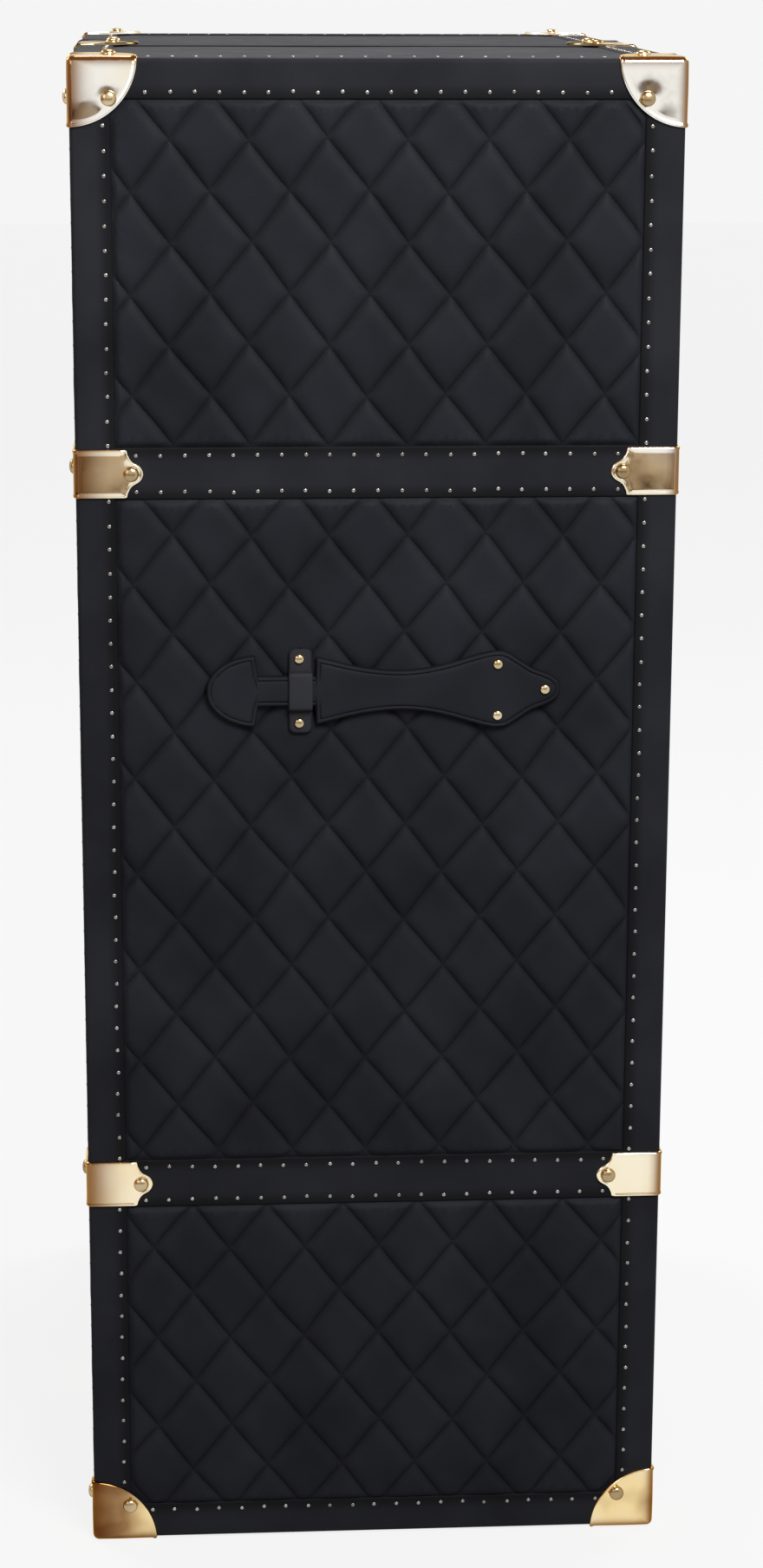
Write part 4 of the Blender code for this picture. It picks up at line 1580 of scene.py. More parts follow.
@dataclass
class NailRows(Assembly):
    """Small brass nails along the strips and bands of a half."""

    half: Half
    flat: float = 0.0008
    from_end: float = 0.054
    from_band: float = 0.0236
    on_band: float = 0.015
    clear_band: float = 0.0500
    clear_bottom: float = 0.0515
    clear_top: float = 0.0612
    clear_cap: float = 0.064

    def upright(self, nails: Studs, plane: Plane, u: float) -> None:
        """A column of nails along an upright strip, with gaps at the caps and clamps.

        Args:
            nails: Nails of the face.
            plane: The face.
            u: Where the column is.
        """
        low, high = CASE.bands
        spans = (
            (CASE.low + self.from_end, low - self.from_band),
            (low + self.from_band, high - self.from_band),
            (high + self.from_band, CASE.top - self.from_end),
        )
        for start, end in spans:
            nails.row(plane, (u, start), (u, end))

    def level(self, nails: Studs, plane: Plane, v: float, clear: float) -> None:
        """A row of nails across a face.

        Args:
            nails: Nails of the face.
            plane: The face.
            v: Height of the row.
            clear: Room left at both ends.
        """
        start, end = plane.span
        nails.row(plane, (start + clear, v), (end - clear, v))

    def build(self) -> None:
        """Makes and dresses the nails of each face."""
        line = CASE.nail_line
        for face in Face:
            plane = Plane(self.half, face)
            nails = Studs() if face is Face.SIDE else Studs(height=self.flat)
            start, end = plane.span
            if face in (Face.TOP, Face.BOTTOM):
                for way in Way:
                    self.level(nails, plane, way.value * (CASE.half_depth - line), self.clear_cap)
                reach = CASE.half_depth - self.clear_cap
                nails.row(plane, (end - line, -reach), (end - line, reach))
            else:
                for u in (end - line,) if face is Face.BACK else (start + line, end - line):
                    self.upright(nails, plane, u)
                self.level(nails, plane, CASE.low + line, self.clear_bottom)
                self.level(nails, plane, CASE.top - line, self.clear_top)
                for height in CASE.bands:
                    for off in (-self.on_band, self.on_band):
                        self.level(nails, plane, height + off, self.clear_band)
            piece = nails.build(f"{self.half.label}_{face.label}_nails", self.half.middle)
            dress(piece, self.half.body, self.palette.nail)


@dataclass(frozen=True)
class StrapLength:
    """A length of a strap that bends across one joint: its span, bodies and bend from the nailed end on."""

    word: str
    span: Pair
    bodies: tuple[str, str]
    bend: Pair
    nodes: tuple[str, ...]


@dataclass
class StrapHandle(Assembly):
    """A leather strap nailed at one end, whose head slides under a keeper at the other."""

    half: Half
    height: float = 0.776
    low: float = 0.3633
    thick: float = 0.005
    neck: float = 0.013
    head: Pairs = (
        (-0.1440, 0.0030), (-0.1435, 0.0058), (-0.1415, 0.0107), (-0.1370, 0.0169), (-0.1290, 0.0234),
        (-0.1180, 0.0281), (-0.1080, 0.0302), (-0.1030, 0.0305),
    )
    shoulders: Pair = (-0.1007, -0.0524)
    grip: Pairs = (
        (-0.0520, 0.0290), (-0.0400, 0.0262), (-0.0220, 0.0218), (-0.0020, 0.0184), (0.0190, 0.0170),
        (0.0250, 0.0171), (0.0400, 0.0186), (0.0600, 0.0230), (0.0800, 0.0288), (0.0900, 0.0314), (0.1010, 0.0330),
        (0.1080, 0.0320), (0.1180, 0.0262), (0.1300, 0.0184), (0.1410, 0.0140), (0.1490, 0.0098), (0.1530, 0.0052),
        (0.1540, 0.0020),
    )
    cuts: Pair = (0.0575, -0.0075)
    step: float = 0.0016
    neck_step: float = 0.002
    neck_end: float = 0.008
    least: float = 0.0005
    swing: float = 0.0012
    near_ends: Numbers = (0.0004, 0.001, 0.0018, 0.0026, 0.0033, 0.0038, 0.0043, 0.005, 0.007)
    insets: Numbers = (
        0.0, 0.0, 0.0003, 0.0008, 0.0014, 0.0022, 0.0030, 0.0034, 0.0038, 0.0042, 0.0046, 0.0054, 0.008, 0.012, 0.016,
        0.021, 0.027,
    )
    section: Pairs = (
        (0.0, 0.45), (0.0003, 0.62), (0.0008, 0.80), (0.0014, 0.92), (0.0022, 0.98), (0.0031, 0.98), (0.0036, 0.84),
        (0.0039, 0.78), (0.0042, 0.84), (0.0047, 0.98), (0.008, 1.02), (0.016, 1.05), (0.03, 1.07),
    )
    crease: float = 0.0039
    crease_width: float = 0.0006
    # darkening of the strap: dyed cut edge and painted shade along the edge, painted shade in the crease
    dark_edge: float = 0.0022
    sharp: float = 0.9
    keeper_span: Pair = (-0.075, -0.055)
    keeper_half: float = 0.0365
    keeper_round: float = 0.0060
    keeper_foot: float = 0.0025
    keeper_top: float = 0.0080
    keeper_crown: float = 0.0002
    # darkening of the keeper: dyed cut edges and painted shade along them, painted shade where it bends down to the
    # feet
    keeper_dark: float = 0.0016
    keeper_bend: float = 0.0193
    keeper_flat: float = 0.0190
    foot_path: Pairs = (
        (0.0365, -0.0024), (0.0365, -0.0010), (0.0361, -0.0003), (0.0352, 0.0), (0.0341, 0.0), (0.0329, 0.0),
        (0.0317, 0.0), (0.0305, 0.0), (0.0195, 0.0), (0.0178, 0.0002), (0.0169, 0.0009), (0.0165, 0.0020),
    )
    top_path: Pairs = ((0.0162, -0.0022), (0.0156, -0.0010), (0.0146, -0.0003), (0.0130, 0.0))
    keeper_insets: Numbers = (0.0, 0.0, 0.0003, 0.0009, 0.0017, 0.0032, 0.0060)
    keeper_sink: Numbers = (0.0023, 0.0012, 0.0006, 0.0002, 0.0, 0.0, -0.0001)
    strap_nails: Pairs = ((0.101, 0.022), (0.101, -0.022), (0.141, 0.0))
    keeper_nails: Pairs = ((-0.066, 0.0275), (-0.066, -0.0275))
    keeper_nail_lift: float = 0.0024

    def stations(self) -> list[Pair]:
        """Divides the strap finely, rounded between the drawn places.

        Returns:
            Places along it with half its height.
        """
        found: list[Pair] = []
        for drawn in (self.head, self.grip):
            x, y = np.array(drawn).T
            fine = set(np.arange(x[0], x[-1], self.step)) | set(x)
            for step in self.near_ends:
                fine |= {x[0] + step, x[-1] - step}
            places = np.array(sorted(fine))
            found += [(float(p), float(h)) for p, h in zip(places, self.rounded(places, x, y))]
        start, end = self.shoulders
        steps = [start, end, *np.arange(start + self.neck_end, end - self.neck_end, self.neck_step)]
        for step in self.near_ends:
            steps += [start + step, end - step]
        return sorted(found + [(float(place), self.neck) for place in steps])

    def rounded(self, places: Array, x: Array, y: Array) -> Array:
        """Smooth curve through drawn points, straight where it would swing out.

        Args:
            places: Where it is wanted.
            x: Places of the drawn points.
            y: Values there.

        Returns:
            Values at the places.
        """
        slope = np.gradient(y, x)
        i = np.clip(np.searchsorted(x, places, side="right") - 1, 0, len(x) - 2)
        wide = x[i + 1] - x[i]
        t = (places - x[i]) / wide
        first = (2 * t**3 - 3 * t**2 + 1) * y[i] + (t**3 - 2 * t**2 + t) * wide * slope[i]
        second = (3 * t**2 - 2 * t**3) * y[i + 1] + (t**3 - t**2) * wide * slope[i + 1]
        curve = np.maximum(first + second, self.least)
        straight = np.interp(places, x, y)
        return np.where(np.abs(curve - straight) < self.swing, curve, straight)

    def skin(self, stations: list[Pair], span: Pair) -> tuple[Array, Array, Array]:
        """Points, faces and edge shares of a length of the strap.

        Args:
            stations: Places along the whole strap with half its height.
            span: Lowest and highest y of the length.

        Returns:
            Points, faces, and how dark each point is: dyed cut edge and painted shade along the edge, painted shade in
            the crease.
        """
        keep = [i for i, (place, _) in enumerate(stations) if span[0] - TINY <= place <= span[1] + TINY]
        along, across, distance = (some[keep] for some in outlined_grid(stations, self.insets))
        rise = np.interp(distance, *np.array(self.section).T) * self.thick
        # painted shade in the crease; dyed cut edge and painted shade along the edge
        edge = 0.9 * bell(distance - self.crease, self.crease_width)
        edge = np.maximum(1.0 - distance / self.dark_edge, edge)
        rise[:, 0] = 0.0
        rise[:, -1] = 0.0
        if keep[0] == 0:
            rise[0] = 0.0
        if keep[-1] == len(stations) - 1:
            rise[-1] = 0.0
        points = joined(self.half.value * (self.low + rise), along, self.height + across)
        rows, columns = along.shape
        index = np.arange(rows * columns).reshape(rows, columns)
        under = joined(index[:-1, 0], index[1:, 0], index[1:, -1], index[:-1, -1])
        return points, np.concatenate((sheet_faces(rows, columns), under[:, ::-1])), edge

    def lengths(self) -> None:
        """Makes the strap in three lengths, one across each joint, and hides the CAD strap parts they stand for."""
        whole = self.stations()
        places = [place for place, _ in whole]
        near, far = [min(places, key=lambda place, cut=cut: abs(place - cut)) for cut in self.cuts]
        strap = f"{self.half.label}_strap"
        bodies = (self.half.body, f"{strap}_near", f"{strap}_far", f"{strap}_end")
        plans = (
            StrapLength("tip", (near, places[-1]), bodies[0:2], (0.099, 0.079), ("anchor", "near")),
            StrapLength("grip", (far, near), bodies[1:3], (0.036, 0.014), ("far",)),
            StrapLength("head", (places[0], far), bodies[2:4], (-0.030, -0.050), ("end",)),
        )
        x = self.half.value * self.low
        middle = np.array((x, 0.0, self.height))
        for plan in plans:
            points, faces, edge = self.skin(whole, plan.span)
            name = f"{strap}_{plan.word}_leather"
            piece = mesh_piece(name, points, faces, middle, sharp=self.sharp, seam=edge)
            piece.data.materials.append(self.palette.strap)
            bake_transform(piece)
            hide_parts(*[f"{strap}_{node}" for node in plan.nodes])
            LOG.info("%s bends between %s and %s", name, *plan.bodies)

    def keeper(self) -> None:
        """Makes the leather bridge over the neck."""
        foot, top = self.low + self.keeper_foot, self.low + self.keeper_top
        climb = [(v, foot + rise) for v, rise in self.foot_path] + [(v, top + rise) for v, rise in self.top_path]
        path = np.array([(-v, x) for v, x in climb] + [(0.0, top + self.keeper_crown)] + climb[::-1])
        start, end = self.keeper_span
        inset, sink = np.array(self.keeper_insets), np.array(self.keeper_sink)
        drop = np.concatenate((sink, sink[::-1]))
        from_end = (self.keeper_half - np.abs(path[:, 0]))[:, None]
        short = np.maximum(self.keeper_round - from_end, 0.0)
        trim = self.keeper_round - np.sqrt(self.keeper_round**2 - short**2)
        y = np.concatenate((start + trim + inset, (end - trim - inset)[:, ::-1]), axis=1)
        from_side = np.concatenate((inset, inset[::-1]))[None, :]
        # cut edges darker (dyed edge and painted shade), and painted shade where the bridge bends down to its feet
        cut = bell(np.minimum(from_end, from_side), self.keeper_dark)
        bend = 0.9 * bell(from_end - self.keeper_bend, self.keeper_dark)
        seam = np.maximum(np.where(from_end < self.keeper_flat, cut, 0.0), bend)
        step = np.gradient(path, axis=0)
        out = joined(-step[:, 1], step[:, 0])
        out /= np.linalg.norm(out, axis=1, keepdims=True)
        spot = path[:, None, :] - drop[None, :, None] * out[:, None, :]
        points = joined(self.half.value * spot[..., 1], y, self.height + spot[..., 0])
        name = f"{self.half.label}_keeper"
        piece = mesh_piece(f"{name}_leather", points, sheet_faces(*y.shape), self.half.middle, seam=seam)
        dress(piece, self.half.body, self.palette.keeper, [name])

    def build(self) -> None:
        """Makes and dresses the strap, its keeper and its nails."""
        self.lengths()
        self.keeper()
        plane = Plane(self.half, Face.SIDE)
        nails = Studs(radius=0.0043, height=0.0028, sides=28, dome=Dome.HIGH)
        base = self.low - CASE.half_width
        for spots, lift in ((self.strap_nails, self.thick), (self.keeper_nails, self.keeper_nail_lift)):
            for y, z in spots:
                nails.add(plane.place(y, self.height + z, base + lift), plane.normal)
        piece = nails.build(f"{self.half.label}_handle_nails", self.half.middle)
        dress(piece, self.half.body, self.palette.handle)


@dataclass
class BackHinge(Assembly):
    """The full-height hinge on the back: two leaves with knuckles, a pin and screws."""

    end: float = 0.070
    knuckle: float = 0.0041
    knuckles: int = 9
    knuckle_gap: float = 0.0003
    leaf: float = 0.0015
    leaf_start: float = 0.0051
    leaf_end: float = 0.024
    soft: float = 0.0005
    web_end: float = 0.008
    web_short: float = 0.0006
    web_thin: float = 0.0002
    pin: float = 0.0018
    pin_short: float = 0.0002
    screws: int = 18
    screw_lines: Pair = (0.0135, 0.0165)

    def build(self) -> None:
        """Makes and dresses the hinge."""
        back = CASE.half_depth + CASE.plate_gap
        axis = back + self.knuckle
        low, high = CASE.low + self.end, CASE.top - self.end
        pitch = (high - low) / self.knuckles
        for half, first in ((Half.RIGHT, 0), (Half.LEFT, 1)):
            node = f"{half.label}_hinge_leaf"
            start, end = half.value * self.leaf_start, half.value * self.leaf_end
            plate = eased_block(f"{node}_brass", (start, back, low), (end, back + self.leaf, high), self.soft)
            dress(plate, half.body, self.palette.hinge, [node])
            spans = []
            for i in range(first, self.knuckles, 2):
                z, top = low + i * pitch, low + i * pitch + pitch
                spans.append(((0.0, axis, z + self.knuckle_gap), (0.0, axis, top - self.knuckle_gap), self.knuckle))
                web = eased_block(
                    f"{half.label}_hinge_web_{i}",
                    (0.0, back + self.web_thin, z + self.web_short),
                    (half.value * self.web_end, back + self.leaf - self.web_thin, top - self.web_short),
                    self.web_thin,
                )
                dress(web, half.body, self.palette.hinge)
            dress(rods(f"{half.label}_knuckles", spans), half.body, self.palette.hinge, [node])
            screws = Studs(radius=0.0032, height=0.0013)
            for i in range(self.screws):
                z = low + (i + 0.5) * (high - low) / self.screws
                x = half.value * self.screw_lines[i % 2]
                screws.add(np.array((x, back + self.leaf, z)), np.array((0.0, 1.0, 0.0)))
            dress(screws.build(f"{half.label}_hinge_screws", half.middle), half.body, self.palette.nail)
        pin = [((0.0, axis, low + self.pin_short), (0.0, axis, high - self.pin_short), self.pin)]
        dress(rods("hinge_pin_brass", pin), Half.RIGHT.body, self.palette.hinge, ["hinge_pin"])


@dataclass
class FrontLatch(Assembly):
    """A hasp on the right half that swings over a stud on the left half."""

    level: Level
    height: float
    axis: float = 0.009
    axis_out: float = 0.0041
    barrel: float = 0.0022
    barrel_half: float = 0.012
    pin: float = 0.0009
    pin_short: float = 0.001
    plate: Triple = (0.005, 0.0295, 0.024)
    leaf: float = 0.0015
    soft: float = 0.0005
    screw: Pair = (0.0235, 0.019)
    ear_gap: float = 0.0005
    foot_half: float = 0.0013
    foot_soft: float = 0.0003
    hasp_thick: float = 0.0018
    hasp_length: float = 0.044
    hasp_half: float = 0.015
    hasp_soft: float = 0.0003
    hasp_root: float = 0.0114
    hasp_neck: Pair = (0.0045, 0.0066)
    hasp_nose: float = 0.35
    slot: Triple = (0.029, 0.010, 0.022)
    stud: Triple = (0.006, 0.0082, 0.016)
    stud_soft: float = 0.0012

    @property
    def face(self) -> float:
        """y of the underside of the plates."""
        return -(CASE.half_depth + CASE.plate_gap)

    def outlines(self) -> tuple[list[Pair], list[Pair]]:
        """Outlines from the axis and the middle of the hasp, without its soft edge.

        Returns:
            Outline of the hasp and of its slot.
        """
        nose = self.hasp_nose * self.hasp_half
        end, wide = self.hasp_length - self.hasp_soft, self.hasp_half - self.hasp_soft
        rim = [(0.0, -self.hasp_root), (self.hasp_neck[0], -self.hasp_root), (self.hasp_neck[1], -wide)]
        for turn in np.linspace(0.0, math.pi / 2, 8):
            rim.append((end - nose + nose * math.sin(turn), -wide + nose - nose * math.cos(turn)))
        rim += [(u, -v) for u, v in reversed(rim)]
        far, across, tall = self.slot
        reach, rise = across / 2 + self.hasp_soft, tall / 2 + self.hasp_soft
        hole = [(far - reach, -rise), (far + reach, -rise), (far + reach, rise), (far - reach, rise)]
        return rim, hole

    def hasp(self) -> Piece:
        """Makes the hasp plate with its slot from a drawn outline.

        Returns:
            The new object.
        """
        name = f"{self.level.label}_hasp"
        curve = bpy.data.curves.new(f"{name}_outline", "CURVE")
        curve.dimensions = "2D"
        curve.fill_mode = "BOTH"
        curve.extrude = self.hasp_thick / 2 - self.hasp_soft
        curve.bevel_depth = self.hasp_soft
        curve.bevel_resolution = 2
        for ring in self.outlines():
            line = curve.splines.new("POLY")
            line.points.add(len(ring) - 1)
            for point, (u, v) in zip(line.points, ring):
                point.co = (u, v, 0.0, 1.0)
            line.use_cyclic_u = True
        drawn = bpy.data.objects.new(f"{name}_drawn", curve)
        bpy.context.scene.collection.objects.link(drawn)
        bpy.context.view_layer.update()
        mesh = bpy.data.meshes.new_from_object(drawn.evaluated_get(bpy.context.evaluated_depsgraph_get()))
        bpy.data.objects.remove(drawn)
        y = self.face - self.axis_out
        mesh.transform(Matrix(((1, 0, 0, self.axis), (0, 0, -1, y), (0, 1, 0, self.height), (0, 0, 0, 1))))
        return shown(f"{name}_brass", mesh, sharp=0.7)

    def plates(self) -> None:
        """Makes the plate of the hasp and the one of the staple, with their screws."""
        start, end, half = self.plate
        place, off = self.screw
        out = self.face - self.leaf
        for side, word in ((Half.RIGHT, "latch_plate"), (Half.LEFT, "staple")):
            node = f"{self.level.label}_{word}"
            low = (side.value * start, out, self.height - half)
            high = (side.value * end, self.face, self.height + half)
            plate = eased_block(f"{node}_brass", low, high, self.soft)
            dress(plate, side.body, self.palette.brass, [node])
            screws = Studs(radius=0.0026, height=0.0010)
            for z in (self.height - off, self.height + off):
                screws.add(np.array((side.value * place, out, z)), np.array((0.0, -1.0, 0.0)))
            dress(screws.build(f"{node}_screws", side.middle), side.body, self.palette.nail)

    def upright(self, low: float, high: float, radius: float) -> Bar:
        """A bar on the axis of the hasp between two heights over the middle of the latch."""
        y = self.face - self.axis_out
        return ((self.axis, y, self.height + low), (self.axis, y, self.height + high), radius)

    def build(self) -> None:
        """Makes and dresses the plates, the hasp and the staple."""
        word, half, brass = self.level.label, self.plate[2], self.palette.brass
        holder, body = Half.RIGHT.body, f"{word}_hasp"
        self.plates()
        ear = self.barrel_half + self.ear_gap
        spans = [self.upright(way * ear, way * half, self.barrel) for way in (-1, 1)]
        spans.append(self.upright(self.pin_short - half, half - self.pin_short, self.pin))
        dress(rods(f"{word}_latch_ears", spans), holder, brass)
        inner, outer = ear + self.foot_soft, half - self.foot_soft
        for side, low, high in (("low", -outer, -inner), ("high", inner, outer)):
            foot = eased_block(
                f"{word}_latch_foot_{side}",
                (self.axis - self.foot_half, self.face - self.axis_out, self.height + low),
                (self.axis + self.foot_half, self.face - self.leaf / 2, self.height + high),
                self.foot_soft,
            )
            dress(foot, holder, brass)
        dress(self.hasp(), body, brass, [body])
        barrel = rods(f"{word}_hasp_barrel", [self.upright(-self.barrel_half, self.barrel_half, self.barrel)])
        dress(barrel, body, brass)
        place = self.axis - self.slot[0]
        wide, out, tall = self.stud
        stud = eased_block(
            f"{word}_staple_stud",
            (place - wide / 2, self.face - out, self.height - tall / 2),
            (place + wide / 2, self.face - self.leaf / 2, self.height + tall / 2),
            self.stud_soft,
        )
        dress(stud, Half.LEFT.body, brass)


@dataclass
class Inside(Assembly):
    """Fitments, drawers, knobs, guard rails and the lining of the bays."""

    eased: float = 0.0008
    pad_near: float = 0.019
    pad_soft: float = 0.0006
    pad_sunk: float = 0.0011
    floor_pad: float = 0.0012
    drawer_pad: float = 0.0015
    back_pad: float = 0.0022
    back_start: float = 0.0015
    knob_radius: float = 0.009
    knob_length: float = 0.013
    knob_profile: Pairs = (
        (0.0, 0.62), (0.10, 0.60), (0.18, 0.44), (0.32, 0.38), (0.45, 0.40), (0.55, 0.62), (0.62, 0.86), (0.70, 0.98),
        (0.78, 1.0), (0.86, 0.95), (0.93, 0.80), (0.98, 0.55), (1.0, 0.25),
    )
    lip_reach: float = 0.005
    lip_gap: float = 0.0005
    lip_thick: float = 0.001
    rail: float = 0.003
    rail_levels: Pair = (0.045, 0.120)
    rail_thin: float = 0.8

    def boards(self) -> None:
        """Gives the CAD boards their finishes and softens the edges of the wooden ones."""
        wooden = ("right_fitment", "left_fitment", "upper_drawer", "lower_drawer")
        plans = dict.fromkeys(("right_carcase", "left_carcase"), (Slot.BOARD, self.palette.strip))
        plans |= dict.fromkeys(wooden, (Slot.WALNUT, self.palette.walnut))
        for name, (slot, finish) in plans.items():
            node = frame["nodes"][name]
            node.data.materials.clear()
            node.data.materials.append(finish)
            if slot is Slot.WALNUT:
                soft = node.modifiers.new("eased edges", "BEVEL")
                soft.width = self.eased
                soft.segments = 2
                soft.limit_method = "ANGLE"
            LOG.info("%s is shown from the frame", name)

    def pad(self, name: str, body: str, low: Triple, high: Triple) -> None:
        """Makes and dresses one suede pad.

        Args:
            name: Name of the piece.
            body: CAD body that it moves with.
            low: One corner.
            high: The corner across from it.
        """
        dress(eased_block(name, low, high, self.pad_soft), body, self.palette.suede)

    def lining(self) -> None:
        """Makes the suede pads on the floor and back of each bay and in the drawers."""
        for opening in frame["record"]["physics"]["openings"]:
            name, (low, high) = opening["name"], opening["box_m"]
            floor = low[2] - self.pad_sunk
            if "drawer" in name:
                end = (high[0], high[1], low[2] + self.drawer_pad)
                self.pad(f"{name}_mat", name.replace("_inside", ""), (low[0], low[1], floor), end)
                continue
            half = Half.RIGHT if high[0] > 0 else Half.LEFT
            far = max(abs(low[0]), abs(high[0])) + self.pad_sunk
            start = (half.value * self.pad_near, low[1], floor)
            end = (half.value * far, high[1], low[2] + self.floor_pad)
            self.pad(f"{name}_mat", half.body, start, end)
            start = (half.value * (far - self.back_pad), low[1], low[2] + self.back_start)
            end = (half.value * far, high[1], high[2])
            self.pad(f"{name}_back", half.body, start, end)

    def knobs(self) -> None:
        """Makes the turned drawer knobs."""
        sizes = [(share * self.knob_length, radius * self.knob_radius) for share, radius in self.knob_profile]
        form, faces = turned(sizes, 40)
        for level in (Level.UPPER, Level.LOWER):
            node = f"{level.label}_knob"
            low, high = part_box(node)
            start = np.array((high.x, (low.y + high.y) / 2, (low.z + high.z) / 2))
            points = start + form @ axes_of(np.array((-1.0, 0.0, 0.0))).T
            knob = mesh_piece(f"{node}_brass", points, faces, points.mean(axis=0))
            dress(knob, f"{level.label}_drawer", self.palette.brass, [node])

    def guard(self) -> None:
        """Makes the brass rails before the bottle bays."""
        low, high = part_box("bottle_guard")
        x = (low.x + high.x) / 2
        y = high.y - self.rail
        spans = [((x, way.value * y, low.z), (x, way.value * y, high.z), self.rail) for way in Way]
        for opening in frame["record"]["physics"]["openings"]:
            if "bottle" in opening["name"]:
                shelf = opening["box_m"][0][2] - self.floor_pad
                levels = [shelf + level for level in self.rail_levels]
                spans += [((x, -y, level), (x, y, level), self.rail_thin * self.rail) for level in levels]
        dress(rods("bottle_guard_brass", spans), Half.LEFT.body, self.palette.brass, ["bottle_guard"])

    def lips(self) -> None:
        """Makes the thin leather lips inside the right half that close the seam against dust and light."""
        low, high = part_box("right_fitment")
        near, far = -self.lip_reach, low.x - self.lip_gap
        thin = self.lip_thick
        spans = {
            "front": ((near, low.y, low.z), (far, low.y + thin, high.z)),
            "back": ((near, high.y - thin, low.z), (far, high.y, high.z)),
            "bottom": ((near, low.y + 2 * thin, low.z), (far, high.y - 2 * thin, low.z + thin)),
            "top": ((near, low.y + 2 * thin, high.z - thin), (far, high.y - 2 * thin, high.z)),
        }
        for word, (start, end) in spans.items():
            lip = eased_block(f"{word}_seam_lip", start, end, 0.3 * thin)
            dress(lip, Half.RIGHT.body, self.palette.strap)

    def build(self) -> None:
        """Makes and dresses everything inside."""
        self.boards()
        self.lips()
        self.lining()
        self.knobs()
        self.guard()


@dataclass
class Studio:
    """Pale floor, soft lamps, cards for the brass to mirror, and the camera."""

    lens: float = 77.177
    sensor: float = 36.0
    stand: Triple = (3.11826, -0.18041, 1.38708)
    right: Triple = (0.065690, 0.997833, 0.003826)
    upward: Triple = (-0.243123, 0.012287, 0.969918)
    backward: Triple = (0.967769, -0.064644, 0.243403)
    aim: Triple = (0.1, 0.0, 0.65)
    side_aim: Triple = (0.36, 0.0, 1.1)
    air: Pair = (0.30, 0.913)
    floor_glow: Pair = (0.10, 0.838)
    floor_greys: Pair = (0.072, 0.078)
    floor_reach: float = 14.0
    # painted reflection: glow of the cards as a light and where reflections see them, and their colours by height
    card_glow: Pair = (0.0, 0.42)
    card_stops: tuple[tuple[float, Rgb], ...] = (
        (0.30, (0.55, 0.43, 0.31)),
        (0.62, (0.32, 0.22, 0.14)),
        (0.78, (0.06, 0.04, 0.025)),
        (0.94, (0.10, 0.06, 0.035)),
        (1.00, (0.50, 0.28, 0.14)),
    )

    def camera(self) -> None:
        """Puts the camera where the photograph was taken from."""
        data = bpy.data.cameras.new("camera")
        data.lens = self.lens
        data.sensor_width = self.sensor
        camera = bpy.data.objects.new("camera", data)
        axes = Matrix((self.right, self.upward, self.backward)).transposed().to_4x4()
        camera.matrix_world = Matrix.Translation(self.stand) @ axes
        bpy.context.scene.collection.objects.link(camera)
        bpy.context.scene.camera = camera

    def lamp(self, name: str, place: Triple, aim: Triple, size: float, power: float) -> None:
        """Adds one soft lamp.

        Args:
            name: Its name.
            place: Where it stands.
            aim: What it looks at.
            size: Width and height of its face.
            power: Watts.
        """
        data = bpy.data.lights.new(name, "AREA")
        data.shape = "RECTANGLE"
        data.size, data.size_y = size, size
        data.energy = power
        lamp = bpy.data.objects.new(name, data)
        lamp.location = place
        lamp.rotation_euler = (Vector(aim) - Vector(place)).to_track_quat("-Z", "Y").to_euler()
        bpy.context.scene.collection.objects.link(lamp)

    @staticmethod
    def sheet(name: str, corners: Sequence[Triple], inside: Triple, finish: Finish) -> Piece:
        """Makes one flat piece of the set.

        Args:
            name: Its name.
            corners: Its four corners.
            inside: A point behind it.
            finish: Its material.

        Returns:
            The new object.
        """
        piece = mesh_piece(name, np.array(corners), [(0, 1, 2, 3)], np.array(inside))
        piece.data.materials.append(finish)
        return piece

    def floor(self) -> None:
        """Lays the pale floor."""
        shader = Shader("pale_floor")
        shader.constant({"Roughness": 0.9, "Specular IOR Level": 0.1, "Emission Color": WHITE})
        shader.feed("Emission Strength", shader.seen_more(*self.floor_glow))
        low, high = ((grey, grey, grey) for grey in self.floor_greys)
        shader.feed("Base Color", shader.ramp(shader.noise(0.7), [(0.3, low), (0.7, high)]))
        size = self.floor_reach
        corners = [(-size, -size, 0.0), (size, -size, 0.0), (size, size, 0.0), (-size, size, 0.0)]
        self.sheet("floor", corners, (0.0, 0.0, -1.0), shader.material)

    def cards(self) -> None:
        """Stands brown cards round the set, out of the picture, so that the brass has something dark to show: painted
        reflections that glow a little where reflections see them, are unseen by the camera, light nothing and cast no
        shadow.
        """
        shader = Shader("brown_card")
        shader.constant({"Roughness": 0.9, "Specular IOR Level": 0.1})
        height = shader.node("SeparateXYZ", {0: shader.place}).outputs["Z"]
        uneven = shader.both("ADD", height, shader.span(shader.noise(4.5, 3.0), -0.35, 0.35))
        brown = shader.ramp(uneven, self.card_stops)
        shader.feed("Base Color", brown)
        # painted reflection: the cards glow only where reflections see them
        shader.feed("Emission Color", brown)
        shader.feed("Emission Strength", shader.seen_more(*self.card_glow))
        shapes = {
            "front_card": [(4.3, -2.6, 0.0), (4.3, 2.6, 0.0), (4.3, 2.6, 0.92), (4.3, -2.6, 0.92)],
            "left_card": [(0.2, -2.4, 0.0), (3.4, -2.4, 0.0), (3.4, -2.4, 2.2), (0.2, -2.4, 2.2)],
            "high_card": [(-1.2, -2.2, 3.4), (3.2, -2.2, 3.4), (3.2, 2.2, 3.4), (-1.2, 2.2, 3.4)],
        }
        for name, corners in shapes.items():
            card = self.sheet(name, corners, (0.0, 0.0, CASE.middle), shader.material)
            card.visible_camera = False
            card.visible_diffuse = False
            card.visible_shadow = False

    def surroundings(self) -> None:
        """Makes the air pale where the camera or a shiny surface sees it, and dimmer as a light."""
        world = bpy.data.worlds.new("studio")
        bpy.context.scene.world = world
        world.use_nodes = True
        air = Nodes(world.node_tree)
        air.wire(air.tree.nodes["Background"], {"Strength": air.seen_more(*self.air)}, {"Color": WHITE})

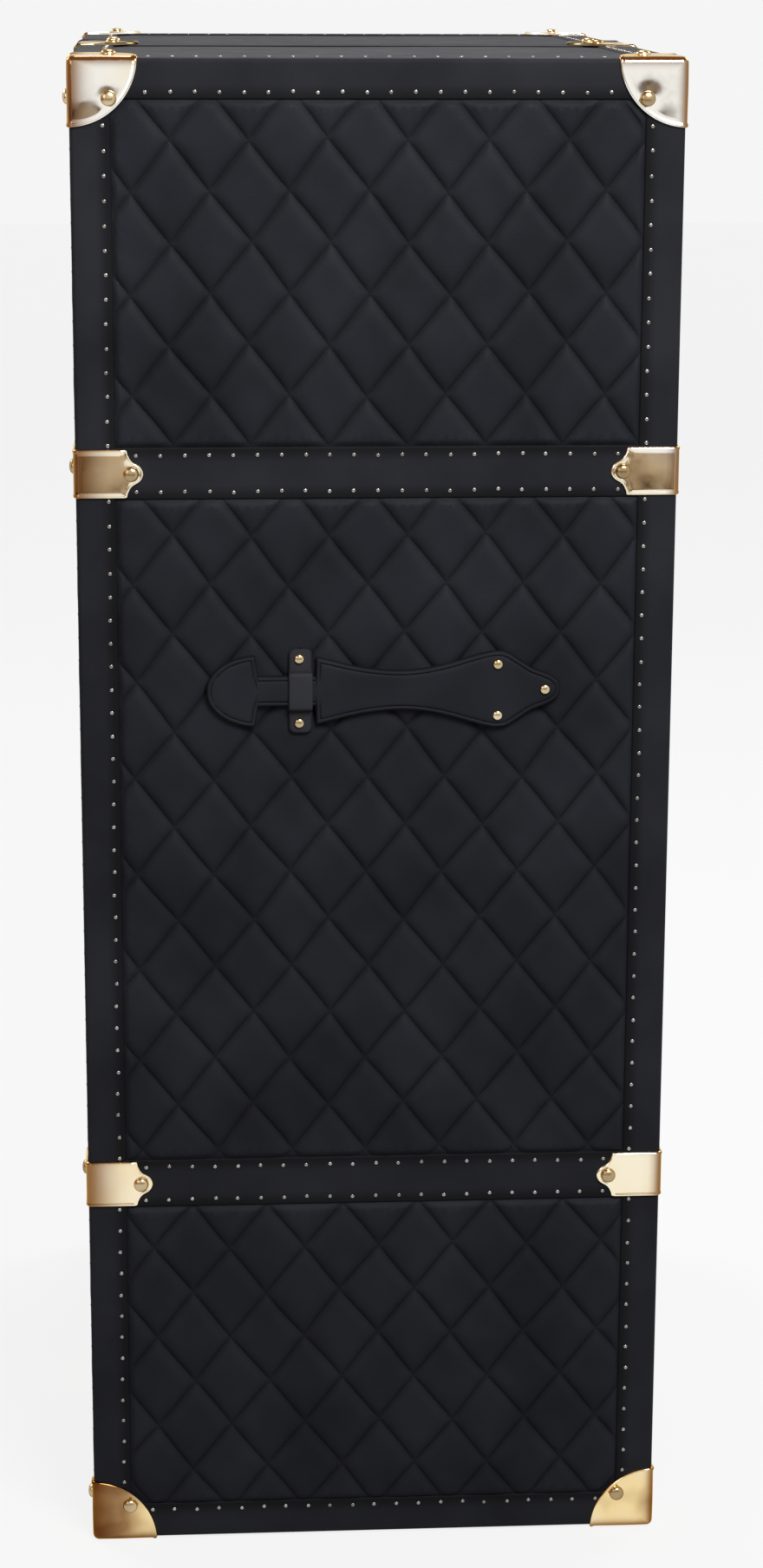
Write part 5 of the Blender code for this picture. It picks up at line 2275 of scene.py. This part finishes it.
    def build(self) -> None:
        """Makes the floor, the cards, the surroundings, the lamps and the camera."""
        self.floor()
        self.cards()
        self.surroundings()
        self.lamp("high_right", (2.0, 0.6, 2.6), self.side_aim, 1.0, 73.0)
        self.lamp("left_fill", (2.4, -1.9, 1.9), self.aim, 1.0, 7.0)
        self.lamp("overhead", (-0.9, 0.0, 3.2), self.aim, 0.7, 30.0)
        self.lamp("far_front", (-2.2, -2.5, 2.9), self.aim, 1.2, 58.0)
        self.lamp("far_back", (-2.2, 2.5, 2.9), self.aim, 1.2, 62.0)
        self.camera()
        bpy.context.scene.view_settings.view_transform = "Standard"


@dataclass
class Outside(Assembly):
    """Everything on the outside of one half."""

    half: Half
    crossings: Pairs = ((0.274, 0.0026), (0.905, 0.0240), (1.229, 0.0246))
    flat_crown: float = 0.0018
    flat_outer: float = 0.55

    def build(self) -> None:
        """Makes and dresses the leather, the brass and the handle."""
        half, palette = self.half, self.palette
        middle = [(height, CASE.half_width / 2) for height, _ in self.crossings]
        QuiltedPanel(palette, Plane(half, Face.SIDE), self.crossings, coarse=half is Half.LEFT).build()
        for face in (Face.FRONT, Face.BACK):
            plane = Plane(half, face)
            QuiltedPanel(palette, plane, middle, crown=self.flat_crown, outer=self.flat_outer).build()
        for face in (Face.TOP, Face.BOTTOM):
            PlainPanel(palette, Plane(half, face)).build()
        Strips(palette, half).build()
        rivets = Studs(radius=0.0064, height=0.0042, sides=32, dome=Dome.HIGH)
        for way in Way:
            for end in (End.BOTTOM, End.TOP):
                for at_seam in (False, True):
                    CornerCap(palette, half, way, end, at_seam).build(rivets)
            for level in Level:
                EdgeClamp(palette, half, way, level).build(rivets)
        dress(rivets.build(f"{half.label}_rivets", half.middle), half.body, palette.rivet)
        NailRows(palette, half).build()
        StrapHandle(palette, half).build()


def main() -> None:
    """Builds the trunk and its studio."""
    logging.basicConfig(level=logging.INFO, format="%(name)s: %(message)s")
    palette = Palette()
    for half in Half:
        Outside(palette, half).build()
    BackHinge(palette).build()
    FrontLatch(palette, Level.UPPER, 0.810).build()
    FrontLatch(palette, Level.LOWER, 0.490).build()
    Inside(palette).build()
    Studio().build()


if __name__ == "__main__":
    main()
